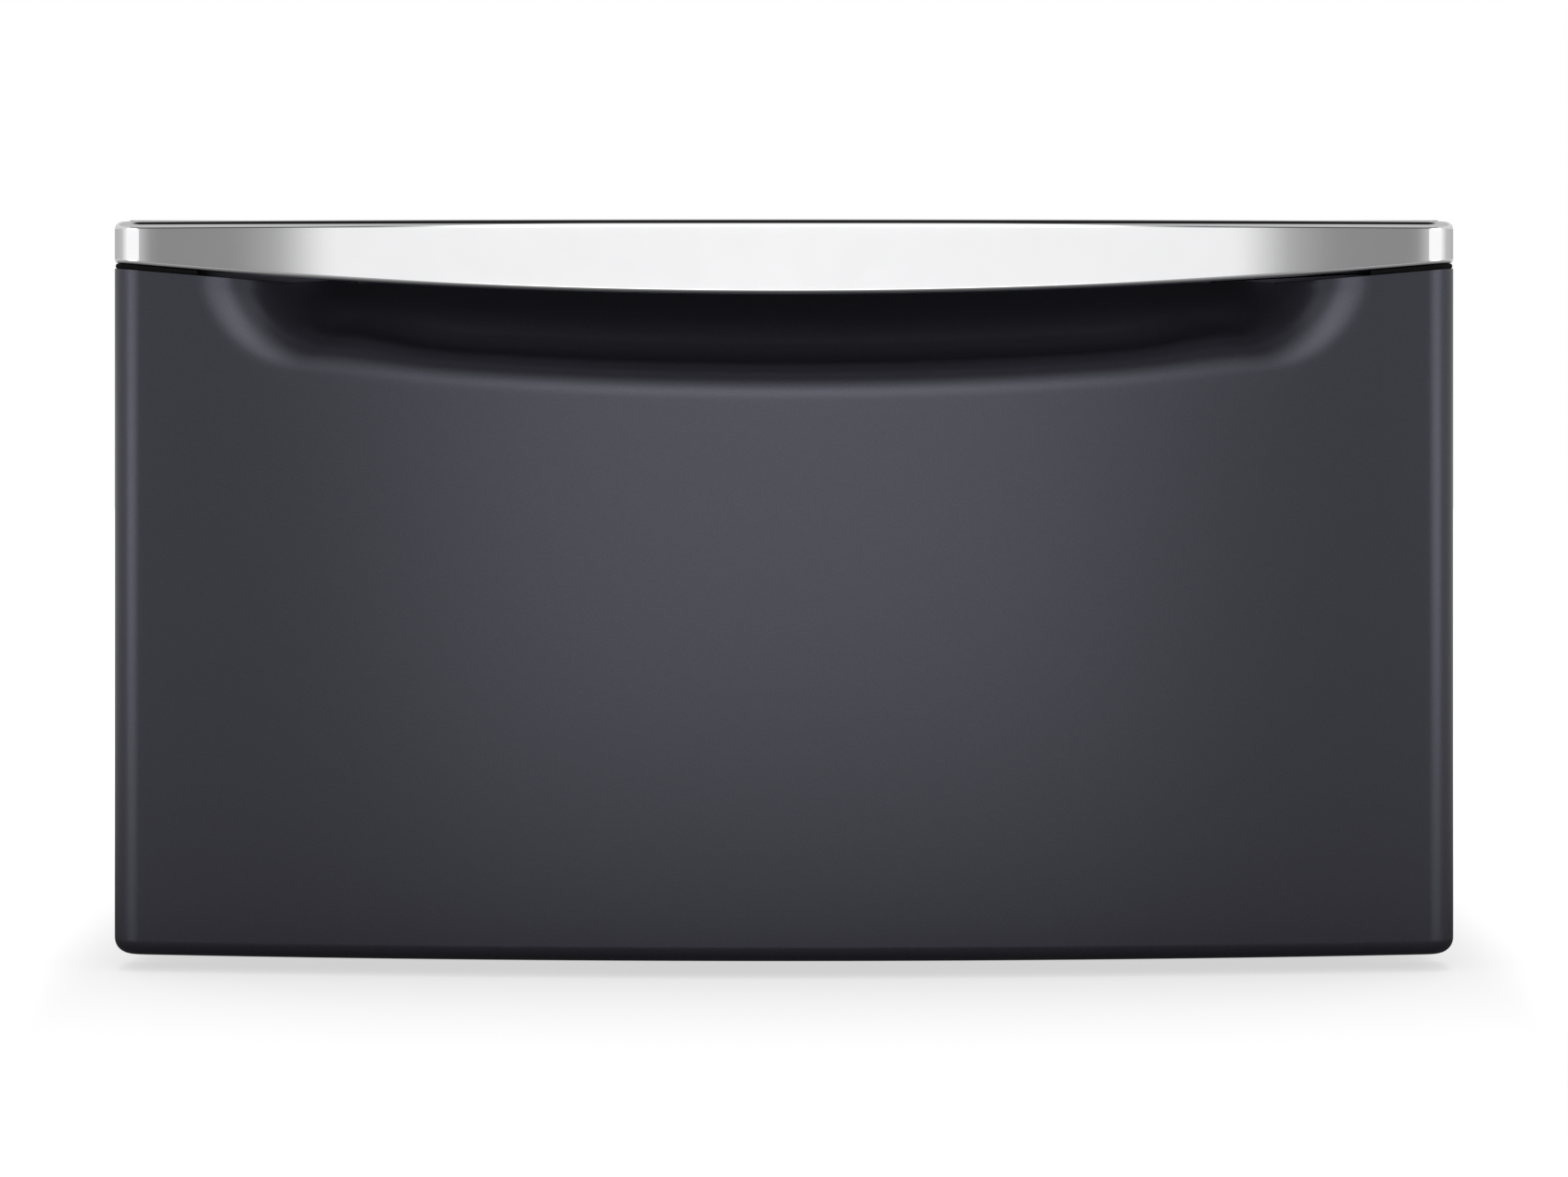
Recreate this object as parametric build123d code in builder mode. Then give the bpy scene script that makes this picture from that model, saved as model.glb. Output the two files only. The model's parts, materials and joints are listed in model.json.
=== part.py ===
"""Laundry pedestal with a storage drawer.

A painted steel cabinet on four levelling feet carries a front load washer or dryer on its deck. Its full
width drawer has a bowed front, a finger pocket under a bright visor handle, and telescopic ball slides.

Frame: +Z up, the drawer front faces -Y, origin on the floor under the middle of the pedestal. Millimetres.
"""

import os
from math import radians, sqrt, tan

from build123d import *

# Overall size
WIDTH = 686.0  # across the drawer front
DEPTH = 686.0  # crown of the bowed front to the deck's rear edge
HEIGHT = 384.5  # floor to the top of the deck

# Sheet metal
SHEET = 1.2  # cabinet and drawer sheet
DECK_SHEET = 1.5  # deck, rails and braces
BEND = 2.5  # outer radius of a folded edge
FIT = 0.1  # gap between sheets that nest

# Drawer front
FRONT_BOW = 32.0  # how far the crown stands ahead of the corners
FRONT_THICKNESS = 76.0  # crown to the flat back of the front
FRONT_CORNER = 18.0  # upright corner radius
FRONT_FLOOR_GAP = 8.0
FRONT_LOWER_ROUND = 8.0
FRONT_SKIN = 1.5
FRONT_FLANGE = 16.0  # flange folded in behind the skin
FRONT_RISE_DROP = 1.0  # handle's top to the top of the wall behind it

# Visor handle
HANDLE_DROP = 2.0  # deck's top to the handle's top
HANDLE_END = 21.5  # height at the ends
HANDLE_MIDDLE = 38.0  # height at the crown
HANDLE_WALL = 3.0
HANDLE_GAP = 2.5  # shadow gap under the handle's ends
HANDLE_TOP_ROUND = 4.0
HANDLE_LOWER_ROUND = 2.4
HANDLE_RIB = 12.0  # rib behind the finger space
HANDLE_BOSS_RADIUS = 5.0
HANDLE_BOSS_LENGTH = 14.0
HANDLE_BOSS_SINK = 1.0  # overlap of a boss with the top wall
HANDLE_MIDDLE_SCREW_X = 120.0

# Finger pocket
POCKET_DEPTH = 60.0  # crown to the pocket's back at the handle
POCKET_LEAN = 25.0  # degrees that the pocket's back leans from upright, nearer the front below
POCKET_WIDTH = 554.0
POCKET_DROP = 72.0  # handle's top to the pocket's floor at the crown
POCKET_FLOOR_RADIUS = 2330.0
POCKET_CORNER = 37.0
POCKET_BACK_ROUND = 8.0
POCKET_LIP = 20.0  # soft edge between the front and the pocket

# Cabinet
CABINET_INSET = 1.0  # drawer front's side to the deck's side
SIDE_FLANGE = 20.0
DECK_HEM = 18.0
DECK_EDGE_ROUND = 2.5
REAR_RECESS = 6.0  # deck's rear edge to the rear flanges
CLOSING_GAP = 5.0  # cabinet to the closed drawer front

# Stiffening beads pressed into the deck and the rear panel
BEAD_WIDTH = 24.0
BEAD_DEPTH = 3.0
BEAD_END_GAP = 90.0
DECK_BEADS = 4
DECK_BEAD_PITCH = 120.0
REAR_BEADS = 2
REAR_BEAD_PITCH = 140.0

# Deck braces and the bolt holes for the appliance
BRACE_WEB = 40.0
BRACE_DEPTH = 20.0
BRACE_LIP = 10.0
BRACE_GAP = 0.4  # to the side panel's flange
BOLT_HOLE_RADIUS = 5.5
BOLT_SETBACK = 54.0  # deck's front and rear edges to the bolt lines

# Rails
CROSS_RAIL_HEIGHT = 30.0
CROSS_RAIL_DEPTH = 25.0
BASE_RAIL_WIDTH = 48.0
BASE_RAIL_HEIGHT = 24.0
FRONT_RAIL_SETBACK = 22.0  # keeps the front feet out of sight behind the drawer front

# Levelling feet
FOOT_INSET = 20.0  # side panel's flange to the foot's axis
FOOT_PAD_RADIUS = 20.0
FOOT_PAD_HEIGHT = 12.0
FOOT_PAD_BRIM = 4.0
FOOT_PAD_NECK = 9.0
FOOT_PAD_ROUND = 1.5
FOOT_SOCKET_DEPTH = 7.0
STEM_RADIUS = 5.0
STEM_TIP_RADIUS = 4.0
STEM_HEX = 14.0  # across the flats
STEM_HEX_HEIGHT = 3.5
STEM_CLEARANCE = 0.06
STEM_DRAWER_GAP = 5.0
STEM_CHAMFER = 1.0
FOOT_SLACK = 1.2  # stem's hexagon to the lock nut
NUT_HEX = 17.0
WELD_NUT_HEIGHT = 8.4
LOCK_NUT_HEIGHT = 6.5
NUT_CHAMFER = 0.8
RAIL_HOLE_CLEARANCE = 0.5

# Drawer box
DRAWER_RAIL_GAP = 14.8  # base rails to the drawer floor
DRAWER_WALL = 230.0
DRAWER_REAR_GAP = 72.0  # drawer box to the rear panel
DRAWER_FLANGE = 18.0
DRAWER_HEM = 10.0
DRAWER_HEM_LIP = 6.0
FLOOR_FLANGE = 16.0
INNER_FRONT_MARGIN = 2.0
INNER_FRONT_CORNER = 6.0

# Telescopic ball slides
SLIDE_RISE = 110.0  # drawer floor to the slides' middle
SLIDE_HEIGHT = 45.0
SLIDE_THICKNESS = 12.7
SLIDE_SHEET = 1.2
SLIDE_WEB_GAP = 2.2  # outer member's web to the middle member's web
SLIDE_LIP_STEP = 0.5  # middle member's lips stop short of the outer member's
SLIDE_INNER_GAP = 1.0  # inner member's lips to the middle member's web
SLIDE_SETBACK = 6.0
SLIDE_REAR_GAP = 84.0
FLANGE_CLEARANCE = 3.4  # side panel's flange to the slide
BRACKET_WEB = 62.0
BRACKET_LIP = 12.0
BALL_RADIUS = 1.8
BALL_CLEARANCE = 0.3
BALL_PITCH = 25.0
CAGE_LENGTH = 250.0
CAGE_SETBACK = 130.0
CAGE_WIDTH = 5.0
CAGE_STRIP = 1.2
CAGE_HOLE_CLEARANCE = 0.1

# Fasteners and bumpers
SCREW_RADIUS = 1.9
SCREW_HOLE_CLEARANCE = 0.1
SCREW_FLANGE_RADIUS = 5.2
SCREW_FLANGE = 1.2
SCREW_HEX = 7.0  # across the flats
SCREW_HEX_HEIGHT = 2.4
SCREW_LENGTH = 8.0
SLIDE_SCREW_HEAD_RADIUS = 3.6
SLIDE_SCREW_HEAD = 1.4
SLIDE_SCREW_LENGTH = 5.5
SLIDE_SCREW_INSET = 40.0  # slide's ends to the end screws
RIVET_RADIUS = 1.6
RIVET_HEAD_RADIUS = 3.2
RIVET_HEAD = 1.0
RIVET_TAIL_RADIUS = 2.3
BUMPER_RADIUS = 6.0
BUMPER_STEM_RADIUS = 2.5
BUMPER_GAP = 0.3
BUMPER_ROUND = 1.0
HOLE_REACH = 8.0  # length of the cutter for a hole through one sheet

# Places along X
HALF = WIDTH / 2
CABINET_HALF = HALF - CABINET_INSET
SIDE_FACE = CABINET_HALF - DECK_SHEET - FIT  # outer face of a side panel
SIDE_INNER = SIDE_FACE - SHEET
FLANGE_EDGE = SIDE_FACE - SIDE_FLANGE
FLANGE_MIDDLE = SIDE_FACE - SIDE_FLANGE / 2
RAIL_HALF = SIDE_INNER - BEND  # rails stop short of the side panels' bends
BRACKET_FACE = FLANGE_EDGE - FLANGE_CLEARANCE
DRAWER_HALF = BRACKET_FACE - SLIDE_THICKNESS
BRACE_X = FLANGE_EDGE - BRACE_GAP - BRACE_LIP - BRACE_WEB / 2
FOOT_X = FLANGE_EDGE - FOOT_INSET
POCKET_HALF = POCKET_WIDTH / 2

# Places along Y
FRONT_Y = -DEPTH / 2
REAR_Y = DEPTH / 2
FRONT_BACK_Y = FRONT_Y + FRONT_THICKNESS
POCKET_BACK_Y = FRONT_Y + POCKET_DEPTH
INNER_BACK_Y = FRONT_BACK_Y + SHEET
CABINET_FRONT_Y = INNER_BACK_Y + CLOSING_GAP
SIDE_FRONT_Y = CABINET_FRONT_Y + DECK_SHEET + FIT
SIDE_REAR_Y = REAR_Y - REAR_RECESS
DECK_MIDDLE_Y = (CABINET_FRONT_Y + REAR_Y) / 2
DRAWER_BACK_Y = SIDE_REAR_Y - DRAWER_REAR_GAP
SLIDE_FRONT_Y = SIDE_FRONT_Y + SLIDE_SETBACK
SLIDE_REAR_Y = SIDE_REAR_Y - SLIDE_REAR_GAP
BOW_RADIUS = (HALF**2 + FRONT_BOW**2) / (2 * FRONT_BOW)
BASE_RAIL_FRONTS = (
    SIDE_FRONT_Y + SHEET + BEND + FRONT_RAIL_SETBACK,
    SIDE_REAR_Y - SHEET - BEND - BASE_RAIL_WIDTH,
)
FOOT_YS = [front + BASE_RAIL_WIDTH / 2 for front in BASE_RAIL_FRONTS]
BOLT_YS = (CABINET_FRONT_Y + BOLT_SETBACK, REAR_Y - BOLT_SETBACK)

# Places along Z
CABINET_BOTTOM_Z = FOOT_PAD_HEIGHT + STEM_HEX_HEIGHT + FOOT_SLACK + LOCK_NUT_HEIGHT - SHEET
BASE_RAIL_Z = CABINET_BOTTOM_Z + SHEET
DRAWER_BOTTOM_Z = BASE_RAIL_Z + BASE_RAIL_HEIGHT + DRAWER_RAIL_GAP
DRAWER_TOP_Z = DRAWER_BOTTOM_Z + DRAWER_WALL
SLIDE_Z = DRAWER_BOTTOM_Z + SLIDE_RISE
DECK_UNDER_Z = HEIGHT - DECK_SHEET
HANDLE_TOP_Z = HEIGHT - HANDLE_DROP
RISE_TOP_Z = HANDLE_TOP_Z - FRONT_RISE_DROP
HANDLE_SCREW_Z = HANDLE_TOP_Z - HANDLE_WALL - HANDLE_BOSS_RADIUS + HANDLE_BOSS_SINK
POCKET_FLOOR_Z = HANDLE_TOP_Z - POCKET_DROP
CROSS_RAIL_TOP_Z = DECK_UNDER_Z - SHEET - BEND

SIDES = ((-1, "left"), (1, "right"))
HEAD_DOWN = (180, 0, 0)
HEAD_BACK = (-90, 0, 0)
HEAD_FRONT = (90, 0, 0)

os.makedirs("parts", exist_ok=True)


# Helpers


def save(piece, name):
    """Label a finished piece and write it."""
    piece.label = name
    export_step(piece, f"parts/{name}.step")


def span(side, a, b):
    """The low and high X of two distances from the middle plane, on one side of it."""
    return tuple(sorted((side * a, side * b)))


def around(middle, length):
    """The low and high ends of a length about its middle."""
    return middle - length / 2, middle + length / 2


def along(low, high, shares):
    """The places at shares of the way from low to high."""
    return [low + (high - low) * share for share in shares]


def block(x, y, z, mode=Mode.ADD):
    """A box between low and high limits on each axis."""
    with Locations(tuple((low + high) / 2 for low, high in (x, y, z))):
        Box(*(high - low for low, high in (x, y, z)), mode=mode)


def plate(across, up, mode=Mode.ADD):
    """A rectangle between low and high limits on a sketch's two axes."""
    with Locations(tuple((low + high) / 2 for low, high in (across, up))):
        Rectangle(*(high - low for low, high in (across, up)), mode=mode)


def cross_section(y):
    """The plane across the pedestal at y: X across, Z up, extruding towards the front."""
    return Plane.XZ.offset(-y)


def heads_inward(side):
    """The turn that points a fastener's head at the middle plane."""
    return 0, -90 * side, 0


def drill(places, radius):
    """Holes through one sheet at each place, along the place's own Z."""
    with Locations(*places):
        Cylinder(radius, HOLE_REACH, mode=Mode.SUBTRACT)


def drill_screws(places):
    """Screw holes at each place."""
    drill(places, SCREW_RADIUS + SCREW_HOLE_CLEARANCE)


def slide_channel(side, web_face, lip_end, height):
    """A slide member along Y, its web's face and its lips' ends given as distances from the middle plane."""
    web_back = web_face + SLIDE_SHEET if lip_end > web_face else web_face - SLIDE_SHEET
    with BuildPart() as body:
        with BuildSketch(cross_section(SLIDE_REAR_Y)):
            plate(span(side, web_face, lip_end), around(SLIDE_Z, height))
            plate(span(side, web_back, lip_end), around(SLIDE_Z, height - 2 * SLIDE_SHEET), Mode.SUBTRACT)
        extrude(amount=SLIDE_REAR_Y - SLIDE_FRONT_Y)
    return body.part


def hat_section(web, depth, lip, sheet):
    """A hat profile: its web along X at Y 0, its legs rising to lips whose outer faces lie at Y depth."""
    with BuildSketch() as profile:
        plate(around(0, web), (0, depth))
        plate(around(0, web - 2 * sheet), (sheet, depth), Mode.SUBTRACT)
        for side, _ in SIDES:
            plate(span(side, web / 2 - sheet, web / 2 + lip), (depth - sheet, depth))
    return profile.sketch


def hex_screw(length):
    """A hex washer head screw along Z, its seat at the origin and its shank below."""
    with BuildPart() as body:
        Cylinder(SCREW_RADIUS, length, align=(Align.CENTER, Align.CENTER, Align.MAX))
        Cylinder(SCREW_FLANGE_RADIUS, SCREW_FLANGE, align=(Align.CENTER, Align.CENTER, Align.MIN))
        with BuildSketch(Plane.XY.offset(SCREW_FLANGE)):
            RegularPolygon(SCREW_HEX / 2, 6, major_radius=False)
        extrude(amount=SCREW_HEX_HEIGHT)
    return body.part


def hex_nut(height):
    """A hexagon nut standing on the origin, with a running bore for the stem."""
    with BuildPart() as body:
        with BuildSketch():
            RegularPolygon(NUT_HEX / 2, 6, major_radius=False)
            Circle(STEM_RADIUS + STEM_CLEARANCE, mode=Mode.SUBTRACT)
        extrude(amount=height)
        chamfer(body.edges().filter_by(GeomType.LINE).group_by(Axis.Z)[-1], NUT_CHAMFER)
    return body.part


def group(piece, places):
    """Copies of one piece at each place, as separate solids."""
    with BuildPart() as copies:
        with Locations(*places):
            add(piece)
    return copies.part


# Bowed outlines shared by the drawer front and the handle


def bow_y(x, inset=0.0):
    """The Y of the bowed face at x, moved in by inset."""
    return FRONT_Y + BOW_RADIUS - sqrt((BOW_RADIUS - inset) ** 2 - x**2)


def bowed_plan(inset, back_y):
    """The drawer front's outline in plan, moved in by inset, with its flat back at back_y."""
    half = HALF - inset
    end_y = bow_y(half, inset)
    with BuildSketch() as plan:
        with BuildLine():
            ThreePointArc((-half, end_y), (0, bow_y(0, inset)), (half, end_y))
            Polyline((half, end_y), (half, back_y), (-half, back_y), (-half, end_y))
        make_face()
        fillet(plan.vertices().sort_by(Axis.Y)[:2], FRONT_CORNER - inset)
    return plan.sketch


def visor_edge(drop):
    """The curve of the handle's lower edge in a front view, lowered by drop, as its two ends and middle."""
    end_z = HANDLE_TOP_Z - HANDLE_END - drop
    return (-HALF, end_z), (0, HANDLE_TOP_Z - HANDLE_MIDDLE - drop), (HALF, end_z)


def visor_z(x, drop):
    """The height of the handle's lower edge at x, lowered by drop."""
    rise = HANDLE_MIDDLE - HANDLE_END
    radius = (HALF**2 + rise**2) / (2 * rise)
    return HANDLE_TOP_Z - HANDLE_MIDDLE - drop + radius - sqrt(radius**2 - x**2)


def visor_region(drop, limit_z):
    """The region in a front view between the lowered visor edge and a level."""
    left, middle, right = visor_edge(drop)
    with BuildSketch() as region:
        with BuildLine():
            ThreePointArc(left, middle, right)
            Polyline(right, (HALF, limit_z), (-HALF, limit_z), left)
        make_face()
    return region.sketch


LEAN_RISE = tan(radians(POCKET_LEAN))  # how far the pocket's back comes forward for each step down
LEAN_TOP_Z = visor_z(POCKET_HALF, HANDLE_GAP + FRONT_SKIN)  # where the back stands upright again


def behind_pocket(inset, half):
    """The space behind the pocket's leaning back, moved back by inset, across a half width to each side."""
    turn_y = POCKET_BACK_Y + inset
    turn_z = LEAN_TOP_Z - inset * tan(radians(POCKET_LEAN) / 2)
    low_z = POCKET_FLOOR_Z - POCKET_BACK_ROUND
    low_y = turn_y - (turn_z - low_z) * LEAN_RISE
    high_y = turn_y + (HEIGHT - turn_z) * LEAN_RISE
    far_y = POCKET_BACK_Y + 2 * POCKET_DEPTH
    with BuildPart() as space:
        with BuildSketch(Plane.YZ):
            with BuildLine():
                Polyline((low_y, low_z), (high_y, HEIGHT), (far_y, HEIGHT), (far_y, low_z), close=True)
            make_face()
        extrude(amount=half, both=True)
    return space.part


def pocket_tool(inset):
    """The finger pocket's space, grown by inset, from its rounded back to ahead of the bowed front."""
    half = POCKET_HALF + inset
    radius = POCKET_FLOOR_RADIUS + inset
    floor_z = POCKET_FLOOR_Z - inset
    end_z = floor_z + radius - sqrt(radius**2 - half**2)
    back_y = POCKET_BACK_Y + inset
    far_y = POCKET_BACK_Y + POCKET_DEPTH
    with BuildPart() as tool:
        with BuildSketch(cross_section(far_y)) as outline:
            with BuildLine():
                ThreePointArc((-half, end_z), (0, floor_z), (half, end_z))
                Polyline((half, end_z), (half, HEIGHT), (-half, HEIGHT), (-half, end_z))
            make_face()
            fillet(outline.vertices().sort_by(Axis.Y)[:2], POCKET_CORNER + inset)
        extrude(amount=2 * POCKET_DEPTH + FRONT_BOW)
        add(behind_pocket(inset, HALF), mode=Mode.SUBTRACT)
        back_edges = tool.faces().sort_by(Axis.Y)[-1].edges().sort_by(Axis.Z)[:-1]
        fillet(back_edges, POCKET_BACK_ROUND + inset)
        block((-HALF, HALF), (back_y, far_y), (POCKET_FLOOR_Z, HEIGHT), Mode.SUBTRACT)
    return tool.part


def seat_tool(inset):
    """The space over the handle's seat, grown by inset, clear of the pocket's leaning back."""
    with BuildPart() as tool:
        with BuildSketch(cross_section(POCKET_BACK_Y + inset)):
            add(visor_region(HANDLE_GAP + inset, HEIGHT))
        extrude(amount=POCKET_DEPTH + inset)
        add(behind_pocket(inset, POCKET_HALF), mode=Mode.SUBTRACT)
    return tool.part


def lip_radius():
    """The pocket's lip, limited by the pocket's flat depth halfway round its corners."""
    corner_x = POCKET_HALF - POCKET_CORNER
    reach = POCKET_FLOOR_RADIUS - POCKET_CORNER
    corner_z = POCKET_FLOOR_Z + POCKET_FLOOR_RADIUS - sqrt(reach**2 - corner_x**2)
    half_turn = POCKET_CORNER * sqrt(0.5)
    back_y = POCKET_BACK_Y - (LEAN_TOP_Z - corner_z + half_turn) * LEAN_RISE
    flat = back_y - bow_y(corner_x + half_turn) - POCKET_BACK_ROUND
    return min(POCKET_LIP, 0.8 * flat)


def front_body(inset, back_y):
    """The drawer front as a block moved in by inset, with the handle's seat and the finger pocket cut."""
    with BuildPart() as body:
        with BuildSketch(Plane.XY.offset(FRONT_FLOOR_GAP + inset)):
            add(bowed_plan(inset, back_y))
        extrude(amount=RISE_TOP_Z - FRONT_FLOOR_GAP - 2 * inset)
        lower_edges = body.edges().group_by(Axis.Z)[0].filter_by(lambda e: e.center().Y < back_y - FIT)
        fillet(lower_edges, FRONT_LOWER_ROUND - inset)
        add(pocket_tool(inset), mode=Mode.SUBTRACT)
        lip = body.edges().filter_by(
            lambda e: abs(e.center().X) < POCKET_HALF + inset + FIT
            and e.center().Z > FRONT_FLOOR_GAP + FRONT_LOWER_ROUND
            and all(abs(p.Y - bow_y(p.X, inset)) < FIT for p in (e @ 0, e @ 0.5, e @ 1))
        )
        fillet(lip, lip_radius() - inset)
        add(seat_tool(inset), mode=Mode.SUBTRACT)
    return body.part


# Fastener places


CROSS_RAIL_SCREW_Z = CROSS_RAIL_TOP_Z - CROSS_RAIL_HEIGHT + SCREW_FLANGE_RADIUS + BEND
CROSS_RAIL_SCREWS = [
    Location((side * FLANGE_MIDDLE, SIDE_FRONT_Y, CROSS_RAIL_SCREW_Z), HEAD_FRONT) for side, _ in SIDES
]
BASE_SCREWS = [
    Location((side * FLANGE_MIDDLE, y, CABINET_BOTTOM_Z), HEAD_DOWN)
    for side, _ in SIDES
    for front in BASE_RAIL_FRONTS
    for y in along(front, front + BASE_RAIL_WIDTH, (0.25, 0.75))
]
REAR_SCREWS = [
    Location((side * FLANGE_MIDDLE, SIDE_REAR_Y + SHEET, z), HEAD_BACK)
    for side, _ in SIDES
    for z in along(CABINET_BOTTOM_Z, HEIGHT, (0.1, 0.35, 0.6, 0.85))
]
BUMPER_PLACES = [
    Location((side * FLANGE_MIDDLE, SIDE_FRONT_Y, z), HEAD_FRONT)
    for side, _ in SIDES
    for z in along(0, HEIGHT, (0.28, 0.76))
]
FRONT_SIDE_SCREWS = [
    Location((side * (HALF - FRONT_FLANGE / 2), INNER_BACK_Y, z), HEAD_BACK)
    for side, _ in SIDES
    for z in along(0, HEIGHT, (0.14, 0.52, 0.88))
]
FRONT_LOWER_SCREWS = [
    Location((x, INNER_BACK_Y, FRONT_FLOOR_GAP + FRONT_FLANGE / 2), HEAD_BACK)
    for x in along(-HALF, HALF, (0.25, 0.5, 0.75))
]
FRONT_SCREWS = FRONT_SIDE_SCREWS + FRONT_LOWER_SCREWS
HANDLE_END_SCREW_X = HALF - FRONT_FLANGE - HANDLE_BOSS_RADIUS
HANDLE_SCREW_XS = [side * x for side, _ in SIDES for x in (HANDLE_MIDDLE_SCREW_X, HANDLE_END_SCREW_X)]
HANDLE_SCREWS = [Location((x, INNER_BACK_Y, HANDLE_SCREW_Z), HEAD_BACK) for x in HANDLE_SCREW_XS]
HANDLE_BOSSES = [Location((x, POCKET_BACK_Y, HANDLE_SCREW_Z), HEAD_BACK) for x in HANDLE_SCREW_XS]
DRAWER_FLANGE_X = DRAWER_HALF - DRAWER_FLANGE / 2
BOX_SCREWS = [
    Location((side * DRAWER_FLANGE_X, INNER_BACK_Y + SHEET, z), HEAD_BACK)
    for side, _ in SIDES
    for z in along(DRAWER_BOTTOM_Z, DRAWER_TOP_Z, (0.18, 0.5, 0.85))
]
PAN_HALF = DRAWER_HALF - SHEET - FIT  # floor pan between the drawer sides
WALL_RIVETS = [
    Location((side * (PAN_HALF - SHEET), y, DRAWER_BOTTOM_Z + FLOOR_FLANGE * 0.6), heads_inward(side))
    for side, _ in SIDES
    for y in along(INNER_BACK_Y, DRAWER_BACK_Y, (0.12, 0.37, 0.62, 0.87))
]
BACK_RIVETS = [
    Location((side * DRAWER_FLANGE_X, DRAWER_BACK_Y - 2 * SHEET, z), HEAD_FRONT)
    for side, _ in SIDES
    for z in along(DRAWER_BOTTOM_Z, DRAWER_TOP_Z, (0.2, 0.5, 0.85))
]
SLIDE_SCREW_YS = along(SLIDE_FRONT_Y + SLIDE_SCREW_INSET, SLIDE_REAR_Y - SLIDE_SCREW_INSET, (0, 0.5, 1))


def slide_screws(side, seat):
    """Places of one slide's screws, seated at a distance from the middle plane, heads inward."""
    return [Location((side * seat, y, SLIDE_Z), heads_inward(side)) for y in SLIDE_SCREW_YS]


OUTER_SCREW_SEAT = BRACKET_FACE - SLIDE_SHEET
INNER_SCREW_SEAT = DRAWER_HALF - SHEET


# Cabinet: side panels, folded trays open towards the inside

for side, hand in SIDES:
    with BuildPart() as side_panel:
        tray_x = span(side, FLANGE_EDGE, SIDE_FACE)
        block(tray_x, (SIDE_FRONT_Y, SIDE_REAR_Y), (CABINET_BOTTOM_Z, DECK_UNDER_Z))
        inner_x = side * FLANGE_EDGE
        fillet(side_panel.edges().filter_by(lambda e: abs(e.center().X - inner_x) > FIT), BEND)
        inner_face = side_panel.faces().filter_by(lambda f: abs(f.center().X - inner_x) < FIT)
        offset(amount=-SHEET, openings=inner_face)
        drill_screws(CROSS_RAIL_SCREWS + BASE_SCREWS + REAR_SCREWS)
        drill(BUMPER_PLACES, BUMPER_STEM_RADIUS + FIT)
    save(side_panel.part, f"side_panel_{hand}")

# Cabinet: rear panel with pressed beads

with BuildPart() as rear_panel:
    edge = SIDE_FACE - BEND
    block((-edge, edge), (SIDE_REAR_Y, SIDE_REAR_Y + SHEET), (CABINET_BOTTOM_Z, DECK_UNDER_Z - BEND))
    bead_z = (CABINET_BOTTOM_Z + DECK_UNDER_Z) / 2
    bead_length = 2 * (FLANGE_EDGE - BEAD_END_GAP)
    with BuildSketch(cross_section(SIDE_REAR_Y)):
        with Locations((0, bead_z)):
            with GridLocations(0, REAR_BEAD_PITCH, 1, REAR_BEADS):
                SlotOverall(bead_length, BEAD_WIDTH)
    extrude(amount=BEAD_DEPTH)
    with BuildSketch(cross_section(SIDE_REAR_Y + SHEET)):
        with Locations((0, bead_z)):
            with GridLocations(0, REAR_BEAD_PITCH, 1, REAR_BEADS):
                SlotOverall(bead_length - 2 * SHEET, BEAD_WIDTH - 2 * SHEET)
    extrude(amount=BEAD_DEPTH, mode=Mode.SUBTRACT)
    drill_screws(REAR_SCREWS)
save(rear_panel.part, "rear_panel")

# Cabinet: deck, a shallow tray that caps the side panels

with BuildPart() as top_deck:
    block((-CABINET_HALF, CABINET_HALF), (CABINET_FRONT_Y, REAR_Y), (HEIGHT - DECK_HEM, HEIGHT))
    fillet(top_deck.edges().filter_by(Axis.Z), BEND + FIT + DECK_SHEET)
    fillet(top_deck.faces().sort_by(Axis.Z)[-1].edges(), DECK_EDGE_ROUND)
    offset(amount=-DECK_SHEET, openings=top_deck.faces().sort_by(Axis.Z)[0])
    bead_length = REAR_Y - CABINET_FRONT_Y - 2 * BEAD_END_GAP
    with BuildSketch(Plane.XY.offset(DECK_UNDER_Z)):
        with Locations((0, DECK_MIDDLE_Y)):
            with GridLocations(DECK_BEAD_PITCH, 0, DECK_BEADS, 1):
                SlotOverall(bead_length, BEAD_WIDTH, rotation=90)
    extrude(amount=-BEAD_DEPTH)
    with BuildSketch(Plane.XY.offset(HEIGHT)):
        with Locations((0, DECK_MIDDLE_Y)):
            with GridLocations(DECK_BEAD_PITCH, 0, DECK_BEADS, 1):
                SlotOverall(bead_length - 2 * DECK_SHEET, BEAD_WIDTH - 2 * DECK_SHEET, rotation=90)
    extrude(amount=-BEAD_DEPTH, mode=Mode.SUBTRACT)
    drill([(side * BRACE_X, y, DECK_UNDER_Z) for side, _ in SIDES for y in BOLT_YS], BOLT_HOLE_RADIUS)
save(top_deck.part, "top_deck")

# Cabinet: hat section braces under the deck, on the bolt lines

for side, hand in SIDES:
    with BuildPart() as deck_brace:
        with BuildSketch(cross_section(SIDE_REAR_Y - SIDE_FLANGE)):
            with Locations((side * BRACE_X, DECK_UNDER_Z - BRACE_DEPTH)):
                add(hat_section(BRACE_WEB, BRACE_DEPTH, BRACE_LIP, DECK_SHEET))
        extrude(amount=SIDE_REAR_Y - SIDE_FRONT_Y - SIDE_FLANGE - SHEET - CROSS_RAIL_DEPTH)
        drill([(side * BRACE_X, y, DECK_UNDER_Z - BRACE_DEPTH) for y in BOLT_YS], BOLT_HOLE_RADIUS)
    save(deck_brace.part, f"deck_brace_{hand}")

# Cabinet: cross rail over the drawer, a channel open to the rear

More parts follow.
